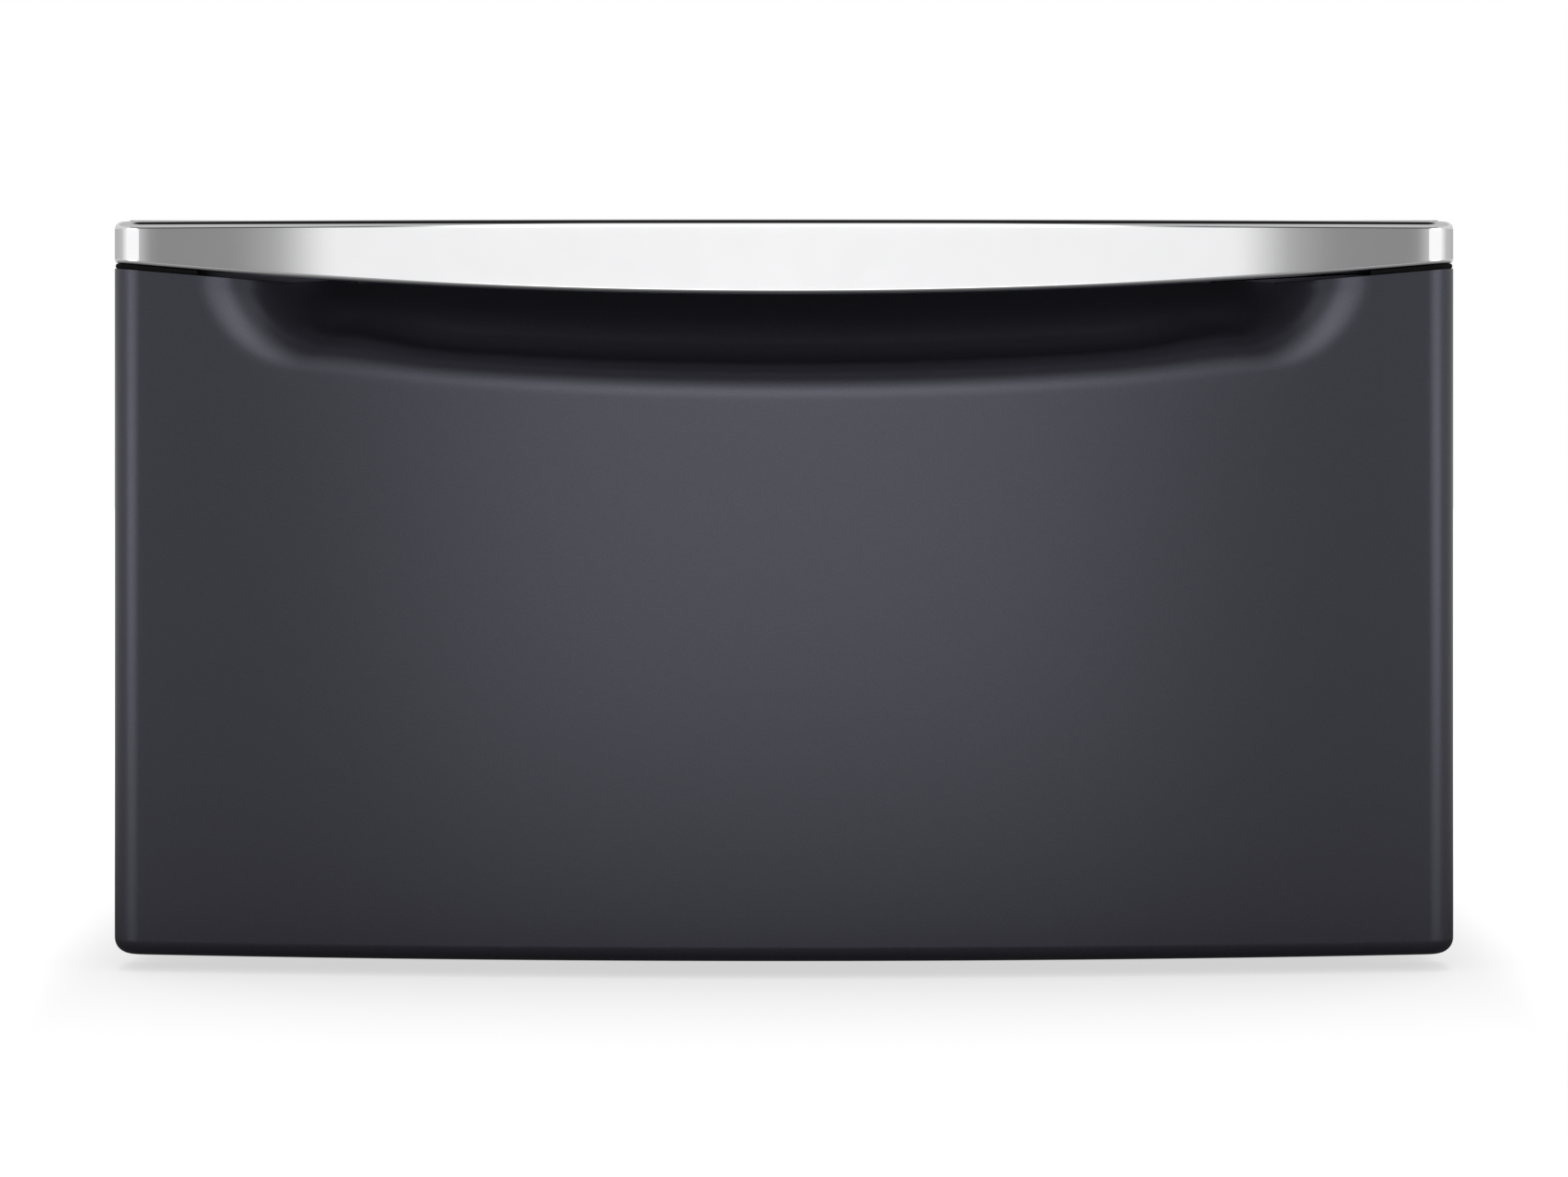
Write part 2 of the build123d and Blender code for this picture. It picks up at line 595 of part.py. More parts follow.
with BuildPart() as cross_rail:
    front = SIDE_FRONT_Y + SHEET
    rear = front + CROSS_RAIL_DEPTH - FIT
    bottom = CROSS_RAIL_TOP_Z - CROSS_RAIL_HEIGHT
    with BuildSketch(Plane.YZ.offset(-RAIL_HALF)):
        plate((front, rear), (bottom, CROSS_RAIL_TOP_Z))
        plate((front + DECK_SHEET, rear), (bottom + DECK_SHEET, CROSS_RAIL_TOP_Z - DECK_SHEET), Mode.SUBTRACT)
    extrude(amount=2 * RAIL_HALF)
    drill_screws(CROSS_RAIL_SCREWS)
save(cross_rail.part, "front_cross_rail")

# Cabinet: base rails, channels open upwards that carry the feet

for front, name in zip(BASE_RAIL_FRONTS, ("front", "rear")):
    with BuildPart() as base_rail:
        rear = front + BASE_RAIL_WIDTH
        top = BASE_RAIL_Z + BASE_RAIL_HEIGHT
        with BuildSketch(Plane.YZ.offset(-RAIL_HALF)):
            plate((front, rear), (BASE_RAIL_Z, top))
            plate((front + DECK_SHEET, rear - DECK_SHEET), (BASE_RAIL_Z + DECK_SHEET, top), Mode.SUBTRACT)
        extrude(amount=2 * RAIL_HALF)
        drill_screws(BASE_SCREWS)
        foot_holes = [(side * FOOT_X, (front + rear) / 2, BASE_RAIL_Z) for side, _ in SIDES]
        drill(foot_holes, STEM_RADIUS + RAIL_HOLE_CLEARANCE)
    save(base_rail.part, f"base_rail_{name}")

# Cabinet: hat section brackets that hold the slides off the side panels

for side, hand in SIDES:
    with BuildPart() as slide_bracket:
        bracket_depth = SIDE_INNER - BRACKET_FACE
        with BuildSketch(cross_section(SIDE_REAR_Y - SHEET - BEND)):
            with Locations(Location((side * BRACKET_FACE, SLIDE_Z), -90 * side)):
                add(hat_section(BRACKET_WEB, bracket_depth, BRACKET_LIP, DECK_SHEET))
        extrude(amount=SIDE_REAR_Y - SIDE_FRONT_Y - 2 * (SHEET + BEND))
        drill_screws(slide_screws(side, BRACKET_FACE))
    save(slide_bracket.part, f"slide_bracket_{hand}")

# Slides: outer, middle and inner members, nested C channels

RACE_GAP = 2 * (BALL_RADIUS + BALL_CLEARANCE)
MEMBER_STEP = 2 * (SLIDE_SHEET + RACE_GAP)
MIDDLE_HEIGHT = SLIDE_HEIGHT - MEMBER_STEP
INNER_HEIGHT = MIDDLE_HEIGHT - MEMBER_STEP
MIDDLE_WEB = BRACKET_FACE - SLIDE_SHEET - SLIDE_WEB_GAP
OUTER_LIP = DRAWER_HALF + SLIDE_SHEET
MIDDLE_LIP = OUTER_LIP + SLIDE_LIP_STEP
INNER_LIP = MIDDLE_WEB - SLIDE_SHEET - SLIDE_INNER_GAP

for side, hand in SIDES:
    with BuildPart() as slide_outer:
        add(slide_channel(side, BRACKET_FACE, OUTER_LIP, SLIDE_HEIGHT))
        drill_screws(slide_screws(side, BRACKET_FACE))
    save(slide_outer.part, f"slide_outer_{hand}")

    with BuildPart() as slide_middle:
        add(slide_channel(side, MIDDLE_WEB, MIDDLE_LIP, MIDDLE_HEIGHT))
    save(slide_middle.part, f"slide_middle_{hand}")

    with BuildPart() as slide_inner:
        add(slide_channel(side, DRAWER_HALF, INNER_LIP, INNER_HEIGHT))
        drill_screws(slide_screws(side, DRAWER_HALF))
    save(slide_inner.part, f"slide_inner_{hand}")

# Slides: ball cages, an upper and a lower strip in each pair of races, and their balls

CAGE_FRONT_Y = SLIDE_FRONT_Y + CAGE_SETBACK
CAGE_MIDDLE_Y = CAGE_FRONT_Y + CAGE_LENGTH / 2
BALLS = int(CAGE_LENGTH // BALL_PITCH)
RACES = {
    "outer": ((MIDDLE_WEB + MIDDLE_LIP) / 2, (MIDDLE_HEIGHT + RACE_GAP) / 2),
    "inner": ((INNER_LIP + MIDDLE_LIP) / 2, (INNER_HEIGHT + RACE_GAP) / 2),
}

for side, hand in SIDES:
    for race, (race_x, race_z) in RACES.items():
        strips = [(side * race_x, CAGE_MIDDLE_Y, SLIDE_Z + end * race_z) for end in (-1, 1)]
        with BuildPart() as ball_cage:
            with Locations(*strips):
                Box(CAGE_WIDTH, CAGE_LENGTH, CAGE_STRIP)
                with GridLocations(0, BALL_PITCH, 1, BALLS):
                    Cylinder(BALL_RADIUS + CAGE_HOLE_CLEARANCE, 2 * CAGE_STRIP, mode=Mode.SUBTRACT)
        save(ball_cage.part, f"ball_cage_{race}_{hand}")

        with BuildPart() as slide_balls:
            with Locations(*strips):
                with GridLocations(0, BALL_PITCH, 1, BALLS):
                    Sphere(BALL_RADIUS)
        save(slide_balls.part, f"slide_balls_{race}_{hand}")

# Levelling feet: a pad that stays on the floor, and a stem that turns in the pad and the nuts

FOOT_PLACES = [
    (f"{end}_{hand}", side * FOOT_X, y) for y, end in zip(FOOT_YS, ("front", "rear")) for side, hand in SIDES
]
STEM_TOP_Z = DRAWER_BOTTOM_Z - STEM_DRAWER_GAP
STEM_TIP_Z = FOOT_PAD_HEIGHT - FOOT_SOCKET_DEPTH + STEM_CLEARANCE
HEX_TOP_Z = FOOT_PAD_HEIGHT + STEM_HEX_HEIGHT

with BuildPart() as foot_pad:
    with BuildSketch(Plane.XZ):
        with BuildLine():
            Polyline(
                (0, 0),
                (FOOT_PAD_RADIUS, 0),
                (FOOT_PAD_RADIUS, FOOT_PAD_BRIM),
                (FOOT_PAD_NECK, FOOT_PAD_HEIGHT),
                (0, FOOT_PAD_HEIGHT),
                close=True,
            )
        make_face()
    revolve(axis=Axis.Z)
    fillet(foot_pad.edges().filter_by(GeomType.CIRCLE).group_by(Axis.Z)[1], FOOT_PAD_ROUND)
    with Locations((0, 0, FOOT_PAD_HEIGHT)):
        Hole(STEM_TIP_RADIUS + STEM_CLEARANCE, depth=FOOT_SOCKET_DEPTH)

for name, x, y in FOOT_PLACES:
    save(group(foot_pad.part, [(x, y, 0)]), f"foot_pad_{name}")

    with BuildPart() as foot_stem:
        with Locations((x, y, STEM_TIP_Z)):
            Cylinder(STEM_TIP_RADIUS, HEX_TOP_Z - STEM_TIP_Z, align=(Align.CENTER, Align.CENTER, Align.MIN))
        with Locations((x, y, HEX_TOP_Z)):
            Cylinder(STEM_RADIUS, STEM_TOP_Z - HEX_TOP_Z, align=(Align.CENTER, Align.CENTER, Align.MIN))
        chamfer(foot_stem.edges().group_by(Axis.Z)[-1], STEM_CHAMFER)
        with BuildSketch(Plane((x, y, FOOT_PAD_HEIGHT))):
            RegularPolygon(STEM_HEX / 2, 6, major_radius=False)
        extrude(amount=STEM_HEX_HEIGHT)
    save(foot_stem.part, f"foot_stem_{name}")

weld_nut_seat = BASE_RAIL_Z + DECK_SHEET
save(group(hex_nut(WELD_NUT_HEIGHT), [(x, y, weld_nut_seat) for _, x, y in FOOT_PLACES]), "foot_weld_nuts")
lock_nut_seat = BASE_RAIL_Z - LOCK_NUT_HEIGHT
save(group(hex_nut(LOCK_NUT_HEIGHT), [(x, y, lock_nut_seat) for _, x, y in FOOT_PLACES]), "foot_lock_nuts")

# Drawer: bowed front skin, hollow, with a flange folded in behind

with BuildPart() as drawer_front:
    add(front_body(0, FRONT_BACK_Y))
    add(front_body(FRONT_SKIN, FRONT_BACK_Y - FRONT_SKIN), mode=Mode.SUBTRACT)
    opening_z = (FRONT_FLOOR_GAP + FRONT_FLANGE, RISE_TOP_Z - FRONT_FLANGE)
    opening_x = HALF - FRONT_FLANGE
    block((-opening_x, opening_x), (FRONT_BACK_Y - 2 * FRONT_SKIN, FRONT_BACK_Y), opening_z, Mode.SUBTRACT)
    drill_screws(FRONT_SCREWS + HANDLE_SCREWS + HANDLE_BOSSES)
save(drawer_front.part, "drawer_front")

# Drawer: flat inner front that closes the skin and takes the drawer box

with BuildPart() as inner_front:
    edge = HALF - INNER_FRONT_MARGIN
    bottom = FRONT_FLOOR_GAP + INNER_FRONT_MARGIN
    block((-edge, edge), (FRONT_BACK_Y, INNER_BACK_Y), (bottom, RISE_TOP_Z - FIT))
    fillet(inner_front.edges().filter_by(Axis.Y), INNER_FRONT_CORNER)
    drill_screws(FRONT_SCREWS + HANDLE_SCREWS + BOX_SCREWS)
save(inner_front.part, "drawer_inner_front")

# Drawer: visor handle, a shell open below and behind

with BuildPart() as handle:
    with BuildSketch(Plane.XY.offset(HANDLE_TOP_Z)):
        add(bowed_plan(0, POCKET_BACK_Y))
    extrude(amount=-HANDLE_MIDDLE)
    with BuildSketch(cross_section(POCKET_BACK_Y)):
        add(visor_region(0, HANDLE_TOP_Z - 2 * HANDLE_MIDDLE))
    extrude(amount=POCKET_DEPTH, mode=Mode.SUBTRACT)
    top_edges = handle.edges().group_by(Axis.Z)[-1].filter_by(lambda e: e.center().Y < POCKET_BACK_Y - FIT)
    fillet(top_edges, HANDLE_TOP_ROUND)
    visor_edges = handle.edges().filter_by(
        lambda e: e.center().Z < HANDLE_TOP_Z - HANDLE_END + FIT and e.center().Y < POCKET_BACK_Y - FIT
        and abs((e @ 0).Z - (e @ 1).Z) < HANDLE_END / 2
    )
    fillet(visor_edges, HANDLE_LOWER_ROUND)
    with BuildSketch(Plane.XY.offset(HANDLE_TOP_Z - HANDLE_WALL)):
        add(bowed_plan(HANDLE_WALL, POCKET_BACK_Y))
    extrude(amount=-HANDLE_MIDDLE, mode=Mode.SUBTRACT)
    inside = HALF - HANDLE_WALL
    rib_z = (HANDLE_TOP_Z - HANDLE_RIB, HANDLE_TOP_Z - HANDLE_WALL)
    block((-inside, inside), (POCKET_BACK_Y - HANDLE_WALL, POCKET_BACK_Y), rib_z)
    with Locations(*HANDLE_BOSSES):
        Cylinder(HANDLE_BOSS_RADIUS, HANDLE_BOSS_LENGTH, align=(Align.CENTER, Align.CENTER, Align.MAX))
        Hole(SCREW_RADIUS + SCREW_HOLE_CLEARANCE, depth=HANDLE_BOSS_LENGTH - HANDLE_WALL)
save(handle.part, "drawer_handle")

# Drawer: box sides with flanged ends and a hemmed top

for side, hand in SIDES:
    with BuildPart() as drawer_side:
        with BuildSketch(cross_section(DRAWER_BACK_Y)):
            plate(span(side, DRAWER_HALF - SHEET, DRAWER_HALF), (DRAWER_BOTTOM_Z, DRAWER_TOP_Z))
            hem_edge = DRAWER_HALF + DRAWER_HEM
            plate(span(side, DRAWER_HALF - SHEET, hem_edge), (DRAWER_TOP_Z - SHEET, DRAWER_TOP_Z))
            plate(span(side, hem_edge - SHEET, hem_edge), (DRAWER_TOP_Z - DRAWER_HEM_LIP, DRAWER_TOP_Z))
        extrude(amount=DRAWER_BACK_Y - INNER_BACK_Y)
        for flange_y in ((INNER_BACK_Y, INNER_BACK_Y + SHEET), (DRAWER_BACK_Y - SHEET, DRAWER_BACK_Y)):
            flange_x = span(side, DRAWER_HALF - DRAWER_FLANGE, DRAWER_HALF)
            block(flange_x, flange_y, (DRAWER_BOTTOM_Z, DRAWER_TOP_Z))
        drill_screws(BOX_SCREWS + slide_screws(side, DRAWER_HALF))
        drill(WALL_RIVETS + BACK_RIVETS, RIVET_RADIUS + SCREW_HOLE_CLEARANCE)
    save(drawer_side.part, f"drawer_side_{hand}")

# Drawer: floor pan with its edges turned up inside the walls

with BuildPart() as drawer_floor:
    block((-PAN_HALF, PAN_HALF), (INNER_BACK_Y + SHEET + FIT, DRAWER_BACK_Y - 2 * SHEET - FIT),
          (DRAWER_BOTTOM_Z, DRAWER_BOTTOM_Z + FLOOR_FLANGE))
    fillet(drawer_floor.faces().sort_by(Axis.Z)[0].edges(), BEND)
    offset(amount=-SHEET, openings=drawer_floor.faces().sort_by(Axis.Z)[-1])
    drill(WALL_RIVETS, RIVET_RADIUS + SCREW_HOLE_CLEARANCE)
save(drawer_floor.part, "drawer_floor")

# Drawer: back wall between the sides, its top edge turned forward

with BuildPart() as drawer_back:
    back_y = (DRAWER_BACK_Y - 2 * SHEET, DRAWER_BACK_Y - SHEET)
    block((-PAN_HALF, PAN_HALF), back_y, (DRAWER_BOTTOM_Z, DRAWER_TOP_Z))
    block((-PAN_HALF, PAN_HALF), (back_y[0] - DRAWER_HEM, back_y[1]), (DRAWER_TOP_Z - SHEET, DRAWER_TOP_Z))
    drill(BACK_RIVETS, RIVET_RADIUS + SCREW_HOLE_CLEARANCE)
save(drawer_back.part, "drawer_back")

# Fasteners

save(group(hex_screw(SCREW_LENGTH), CROSS_RAIL_SCREWS), "cross_rail_screws")
save(group(hex_screw(SCREW_LENGTH), BASE_SCREWS), "base_screws")
save(group(hex_screw(SCREW_LENGTH), REAR_SCREWS), "rear_panel_screws")
save(group(hex_screw(SCREW_LENGTH), FRONT_SCREWS), "drawer_front_screws")
save(group(hex_screw(SCREW_LENGTH), BOX_SCREWS), "drawer_box_screws")
HANDLE_SCREW_LENGTH = INNER_BACK_Y - POCKET_BACK_Y + HANDLE_BOSS_LENGTH - 2 * HANDLE_WALL
save(group(hex_screw(HANDLE_SCREW_LENGTH), HANDLE_SCREWS), "handle_screws")

with BuildPart() as slide_screw:
    Cylinder(SCREW_RADIUS, SLIDE_SCREW_LENGTH, align=(Align.CENTER, Align.CENTER, Align.MAX))
    Cylinder(SLIDE_SCREW_HEAD_RADIUS, SLIDE_SCREW_HEAD, align=(Align.CENTER, Align.CENTER, Align.MIN))
    fillet(slide_screw.edges().group_by(Axis.Z)[-1], SLIDE_SCREW_HEAD / 2)

for seat, name in ((OUTER_SCREW_SEAT, "slide_outer_screws"), (INNER_SCREW_SEAT, "slide_inner_screws")):
    places = [place for side, _ in SIDES for place in slide_screws(side, seat)]
    save(group(slide_screw.part, places), name)

with BuildPart() as rivet:
    grip = 2 * SHEET + FIT
    Cylinder(RIVET_RADIUS, grip, align=(Align.CENTER, Align.CENTER, Align.MAX))
    Cylinder(RIVET_HEAD_RADIUS, RIVET_HEAD, align=(Align.CENTER, Align.CENTER, Align.MIN))
    fillet(rivet.edges().group_by(Axis.Z)[-1], RIVET_HEAD / 2)
    with Locations((0, 0, -grip)):
        Cylinder(RIVET_TAIL_RADIUS, RIVET_HEAD, align=(Align.CENTER, Align.CENTER, Align.MAX))
save(group(rivet.part, WALL_RIVETS + BACK_RIVETS), "drawer_rivets")

# Rubber bumpers on the cabinet's front flanges

with BuildPart() as bumper:
    reach = SIDE_FRONT_Y - INNER_BACK_Y - BUMPER_GAP
    Cylinder(BUMPER_RADIUS, reach, align=(Align.CENTER, Align.CENTER, Align.MIN))
    fillet(bumper.edges().group_by(Axis.Z)[-1], BUMPER_ROUND)
    Cylinder(BUMPER_STEM_RADIUS, SHEET + BUMPER_STEM_RADIUS, align=(Align.CENTER, Align.CENTER, Align.MAX))
save(group(bumper.part, BUMPER_PLACES), "drawer_bumpers")
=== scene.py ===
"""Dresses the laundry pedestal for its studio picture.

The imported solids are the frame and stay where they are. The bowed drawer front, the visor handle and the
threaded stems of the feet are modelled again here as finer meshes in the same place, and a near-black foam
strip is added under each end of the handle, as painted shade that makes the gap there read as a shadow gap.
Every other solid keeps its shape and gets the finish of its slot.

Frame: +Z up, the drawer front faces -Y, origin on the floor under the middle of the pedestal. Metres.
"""

import json
import logging
import math
from collections.abc import Iterable, Sequence
from dataclasses import dataclass, field
from enum import Enum

import bmesh
import bpy
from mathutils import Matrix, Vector


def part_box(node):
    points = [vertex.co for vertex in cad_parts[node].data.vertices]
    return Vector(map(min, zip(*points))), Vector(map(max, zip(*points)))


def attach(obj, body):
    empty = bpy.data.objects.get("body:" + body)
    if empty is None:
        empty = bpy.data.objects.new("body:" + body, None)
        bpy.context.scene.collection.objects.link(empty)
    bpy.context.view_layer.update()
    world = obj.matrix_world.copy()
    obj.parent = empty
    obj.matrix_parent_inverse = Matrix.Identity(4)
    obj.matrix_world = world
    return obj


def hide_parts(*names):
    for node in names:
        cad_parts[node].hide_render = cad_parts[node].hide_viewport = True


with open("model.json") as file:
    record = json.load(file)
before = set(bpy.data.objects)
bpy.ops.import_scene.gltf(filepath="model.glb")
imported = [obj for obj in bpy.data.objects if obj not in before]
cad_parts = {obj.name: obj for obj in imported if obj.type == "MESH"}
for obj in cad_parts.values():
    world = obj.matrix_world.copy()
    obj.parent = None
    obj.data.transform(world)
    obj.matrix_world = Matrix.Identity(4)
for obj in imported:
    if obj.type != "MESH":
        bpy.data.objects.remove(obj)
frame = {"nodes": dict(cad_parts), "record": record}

log = logging.getLogger("pedestal")

Point = tuple[float, float, float]
Colour = tuple[float, float, float, float]
Socket = bpy.types.NodeSocket

WHITE: Colour = (1.0, 1.0, 1.0, 1.0)
HALF_TURN = 180.0
DEGREES = HALF_TURN / math.pi

# Points of a mesh closer than WELD become one, and edges shorter than SLIVER go. Metres.
WELD = 2e-6
SLIVER = 1e-7


class Slot(Enum):
    """The record's material slots."""

    FRONT_PAINT = "front_paint"
    CABINET_PAINT = "cabinet_paint"
    BRIGHT_CHROME = "bright_chrome"
    GALVANISED_SHEET = "galvanised_sheet"
    SLIDE_STEEL = "slide_steel"
    CAGE_PLASTIC = "cage_plastic"
    BALL_STEEL = "ball_steel"
    ZINC_FASTENER = "zinc_fastener"
    FOOT_RUBBER = "foot_rubber"


class Hand(Enum):
    """The two sides of the pedestal, as the sign of their X."""

    LEFT = -1
    RIGHT = 1

    @property
    def word(self) -> str:
        """The side's name as the nodes use it."""
        return self.name.lower()


class Corner(Enum):
    """The four corners of the pedestal, as the feet are named."""

    FRONT_LEFT = "front_left"
    FRONT_RIGHT = "front_right"
    REAR_LEFT = "rear_left"
    REAR_RIGHT = "rear_right"


def lerp(low: float, high: float, share: float) -> float:
    """The value at a share of the way from low to high."""
    return low + (high - low) * share


def shares(steps: int) -> list[float]:
    """The shares 0 to 1 in even steps, both ends included."""
    return [i / steps for i in range(steps + 1)]


def grey(tone: float) -> Colour:
    """A neutral colour."""
    return tone, tone, tone, 1.0


def shade(colour: Colour, factor: float) -> Colour:
    """A colour made lighter or darker by a factor."""
    return colour[0] * factor, colour[1] * factor, colour[2] * factor, 1.0


@dataclass(frozen=True)
class Span:
    """A low and a high value."""

    low: float
    high: float


@dataclass(frozen=True)
class Relief:
    """Fine relief: how much of it shows, and its full height in metres."""

    strength: float
    height: float


class Graph:
    """A node graph, with short calls that add its nodes and join them."""

    def __init__(self, tree: bpy.types.NodeTree) -> None:
        """Empty the graph.

        Args:
            tree: The nodes of a material or a world.
        """
        self.tree = tree
        self.tree.nodes.clear()

    def add(self, kind: str, **settings: object) -> bpy.types.Node:
        """Add a node.

        Args:
            kind: The node's type.
            settings: Properties of the node itself.

        Returns:
            The new node.
        """
        node = self.tree.nodes.new(kind)
        for key, value in settings.items():
            setattr(node, key, value)
        return node

    def link(self, source: Socket, target: Socket) -> None:
        """Join one node's output to another node's input."""
        self.tree.links.new(source, target)

    def maths(self, operation: str, first: Socket, second: Socket | float) -> Socket:
        """One sum on two values.

        Args:
            operation: The sum's name.
            first: The first value.
            second: The second value, as a socket or a number.

        Returns:
            The result.
        """
        node = self.add("ShaderNodeMath", operation=operation)
        self.link(first, node.inputs[0])
        if isinstance(second, float):
            node.inputs[1].default_value = second
        else:
            self.link(second, node.inputs[1])
        return node.outputs["Value"]

    def seen(self) -> Socket:
        """Which rays see the studio's white.

        Returns:
            One for rays from the camera, from metal and from glass, and nothing for the rest.
        """
        path = self.add("ShaderNodeLightPath")
        both = self.maths("MAXIMUM", path.outputs["Is Camera Ray"], path.outputs["Is Glossy Ray"])
        return self.maths("MAXIMUM", both, path.outputs["Is Transmission Ray"])


class Shader(Graph):
    """The node graph of a material."""

    def __init__(self, name: str) -> None:
        """Start an empty material.

        Args:
            name: The material's name.
        """
        self.material = bpy.data.materials.new(name)
        self.material.use_nodes = True
        super().__init__(self.material.node_tree)
        self.output = self.add("ShaderNodeOutputMaterial")

    def place(self, scale: Point = (1.0, 1.0, 1.0)) -> Socket:
        """The surface's own position in metres, stretched along each axis.

        Args:
            scale: The stretch along X, Y and Z.

        Returns:
            The stretched position.
        """
        coordinates = self.add("ShaderNodeTexCoord")
        mapping = self.add("ShaderNodeMapping")
        mapping.inputs["Scale"].default_value = scale
        self.link(coordinates.outputs["Object"], mapping.inputs["Vector"])
        return mapping.outputs["Vector"]

    def axes(self, vector: Socket) -> tuple[Socket, ...]:
        """A vector's parts.

        Args:
            vector: The vector.

        Returns:
            Its X, Y and Z.
        """
        split = self.add("ShaderNodeSeparateXYZ")
        self.link(vector, split.inputs["Vector"])
        return tuple(split.outputs)

    def distance(self, position: Socket) -> Socket:
        """How far a position is from its origin.

        Args:
            position: The position.

        Returns:
            The distance.
        """
        node = self.add("ShaderNodeVectorMath", operation="LENGTH")
        self.link(position, node.inputs[0])
        return node.outputs["Value"]

    def direction(self, position: Socket) -> Socket:
        """Which way a position lies from its origin.

        Args:
            position: The position.

        Returns:
            The direction, one unit long.
        """
        node = self.add("ShaderNodeVectorMath", operation="NORMALIZE")
        self.link(position, node.inputs[0])
        return node.outputs["Vector"]

    def turn_from_front(self, across: Socket, back: Socket) -> Socket:
        """How far a direction is turned from straight ahead, to either side.

        Args:
            across: The direction's X.
            back: The direction's Y.

        Returns:
            The turn in degrees.
        """
        ahead = self.maths("MULTIPLY", back, -1.0)
        turn = self.maths("ABSOLUTE", self.maths("ARCTAN2", across, ahead), 0.0)
        return self.maths("MULTIPLY", turn, DEGREES)

    def noise(self, position: Socket, scale: float, detail: float = 2.0) -> Socket:
        """Cloudy noise.

        Args:
            position: Where the noise is read.
            scale: Clouds per metre.
            detail: How many finer layers the noise has.

        Returns:
            The noise's value.
        """
        node = self.add("ShaderNodeTexNoise")
        node.inputs["Scale"].default_value = scale
        node.inputs["Detail"].default_value = detail
        self.link(position, node.inputs["Vector"])
        return node.outputs["Fac"]

    def cells(self, position: Socket, scale: float) -> tuple[Socket, ...]:
        """Random values, each the same over one small cell.

        Args:
            position: Where the cells are read.
            scale: Cells per metre.

        Returns:
            Three independent values of the cell.
        """
        node = self.add("ShaderNodeTexVoronoi")
        node.inputs["Scale"].default_value = scale
        self.link(position, node.inputs["Vector"])
        split = self.add("ShaderNodeSeparateColor")
        self.link(node.outputs["Color"], split.inputs["Color"])
        return tuple(split.outputs)

    def spread(self, source: Socket, low: float, high: float) -> Socket:
        """A value between 0 and 1 stretched over a range.

        Args:
            source: The value.
            low: What 0 becomes.
            high: What 1 becomes.

        Returns:
            The stretched value.
        """
        node = self.add("ShaderNodeMapRange")
        node.inputs["To Min"].default_value = low
        node.inputs["To Max"].default_value = high
        self.link(source, node.inputs["Value"])
        return node.outputs["Result"]

    def ease(self, source: Socket, start: float, end: float, first: float, last: float) -> Socket:
        """A soft step between two levels.

        Args:
            source: The value that the step follows.
            start: The value at which the step begins.
            end: The value at which it ends.
            first: The level up to the start.
            last: The level from the end on.

        Returns:
            The level.
        """
        node = self.add("ShaderNodeMapRange", interpolation_type="SMOOTHSTEP")
        node.inputs["From Min"].default_value = start
        node.inputs["From Max"].default_value = end
        node.inputs["To Min"].default_value = first
        node.inputs["To Max"].default_value = last
        self.link(source, node.inputs["Value"])
        return node.outputs["Result"]

    def ramp(self, source: Socket, stops: Sequence[tuple[float, Colour]]) -> Socket:
        """A colour looked up from a value.

        Args:
            source: The value.
            stops: Places between 0 and 1 and the colours there, in order.

        Returns:
            The colour.
        """
        node = self.add("ShaderNodeValToRGB")
        elements = node.color_ramp.elements
        while len(elements) < len(stops):
            elements.new(1.0)
        for element, (place, colour) in zip(elements, stops):
            element.position = place
            element.color = colour
        self.link(source, node.inputs["Fac"])
        return node.outputs["Color"]

    def blend(self, first: Socket, second: Socket, share: float) -> Socket:
        """Two values mixed.

        Args:
            first: The first value.
            second: The second value.
            share: How much of the second there is, between 0 and 1.

        Returns:
            The mixed value.
        """
        node = self.add("ShaderNodeMix")
        node.inputs[0].default_value = share
        self.link(first, node.inputs[2])
        self.link(second, node.inputs[3])
        return node.outputs[0]

    def bump(self, height: Socket, relief: Relief) -> Socket:
        """Fine relief.

        Args:
            height: The relief's height between 0 and 1.
            relief: How strong and how high the relief is.

        Returns:
            The bent normal.
        """
        node = self.add("ShaderNodeBump")
        node.inputs["Strength"].default_value = relief.strength
        node.inputs["Distance"].default_value = relief.height
        self.link(height, node.inputs["Height"])
        return node.outputs["Normal"]

    def glow(self, strength: Socket) -> Socket:
        """White light of the surface's own.

        Args:
            strength: How bright it is. One is white.

        Returns:
            The light.
        """
        node = self.add("ShaderNodeEmission")
        node.inputs["Color"].default_value = WHITE
        self.link(strength, node.inputs["Strength"])
        return node.outputs["Emission"]

    def surface(self, **values: object) -> None:
        """Set up the material's surface.

        Args:
            values: Socket names, with underscores for spaces, and the numbers, colours or sockets for them.
        """
        node = self.add("ShaderNodeBsdfPrincipled")
        for key, value in values.items():
            socket = node.inputs[key.replace("_", " ")]
            if isinstance(value, Socket):
                self.link(value, socket)
            else:
                socket.default_value = value
        self.link(node.outputs["BSDF"], self.output.inputs["Surface"])


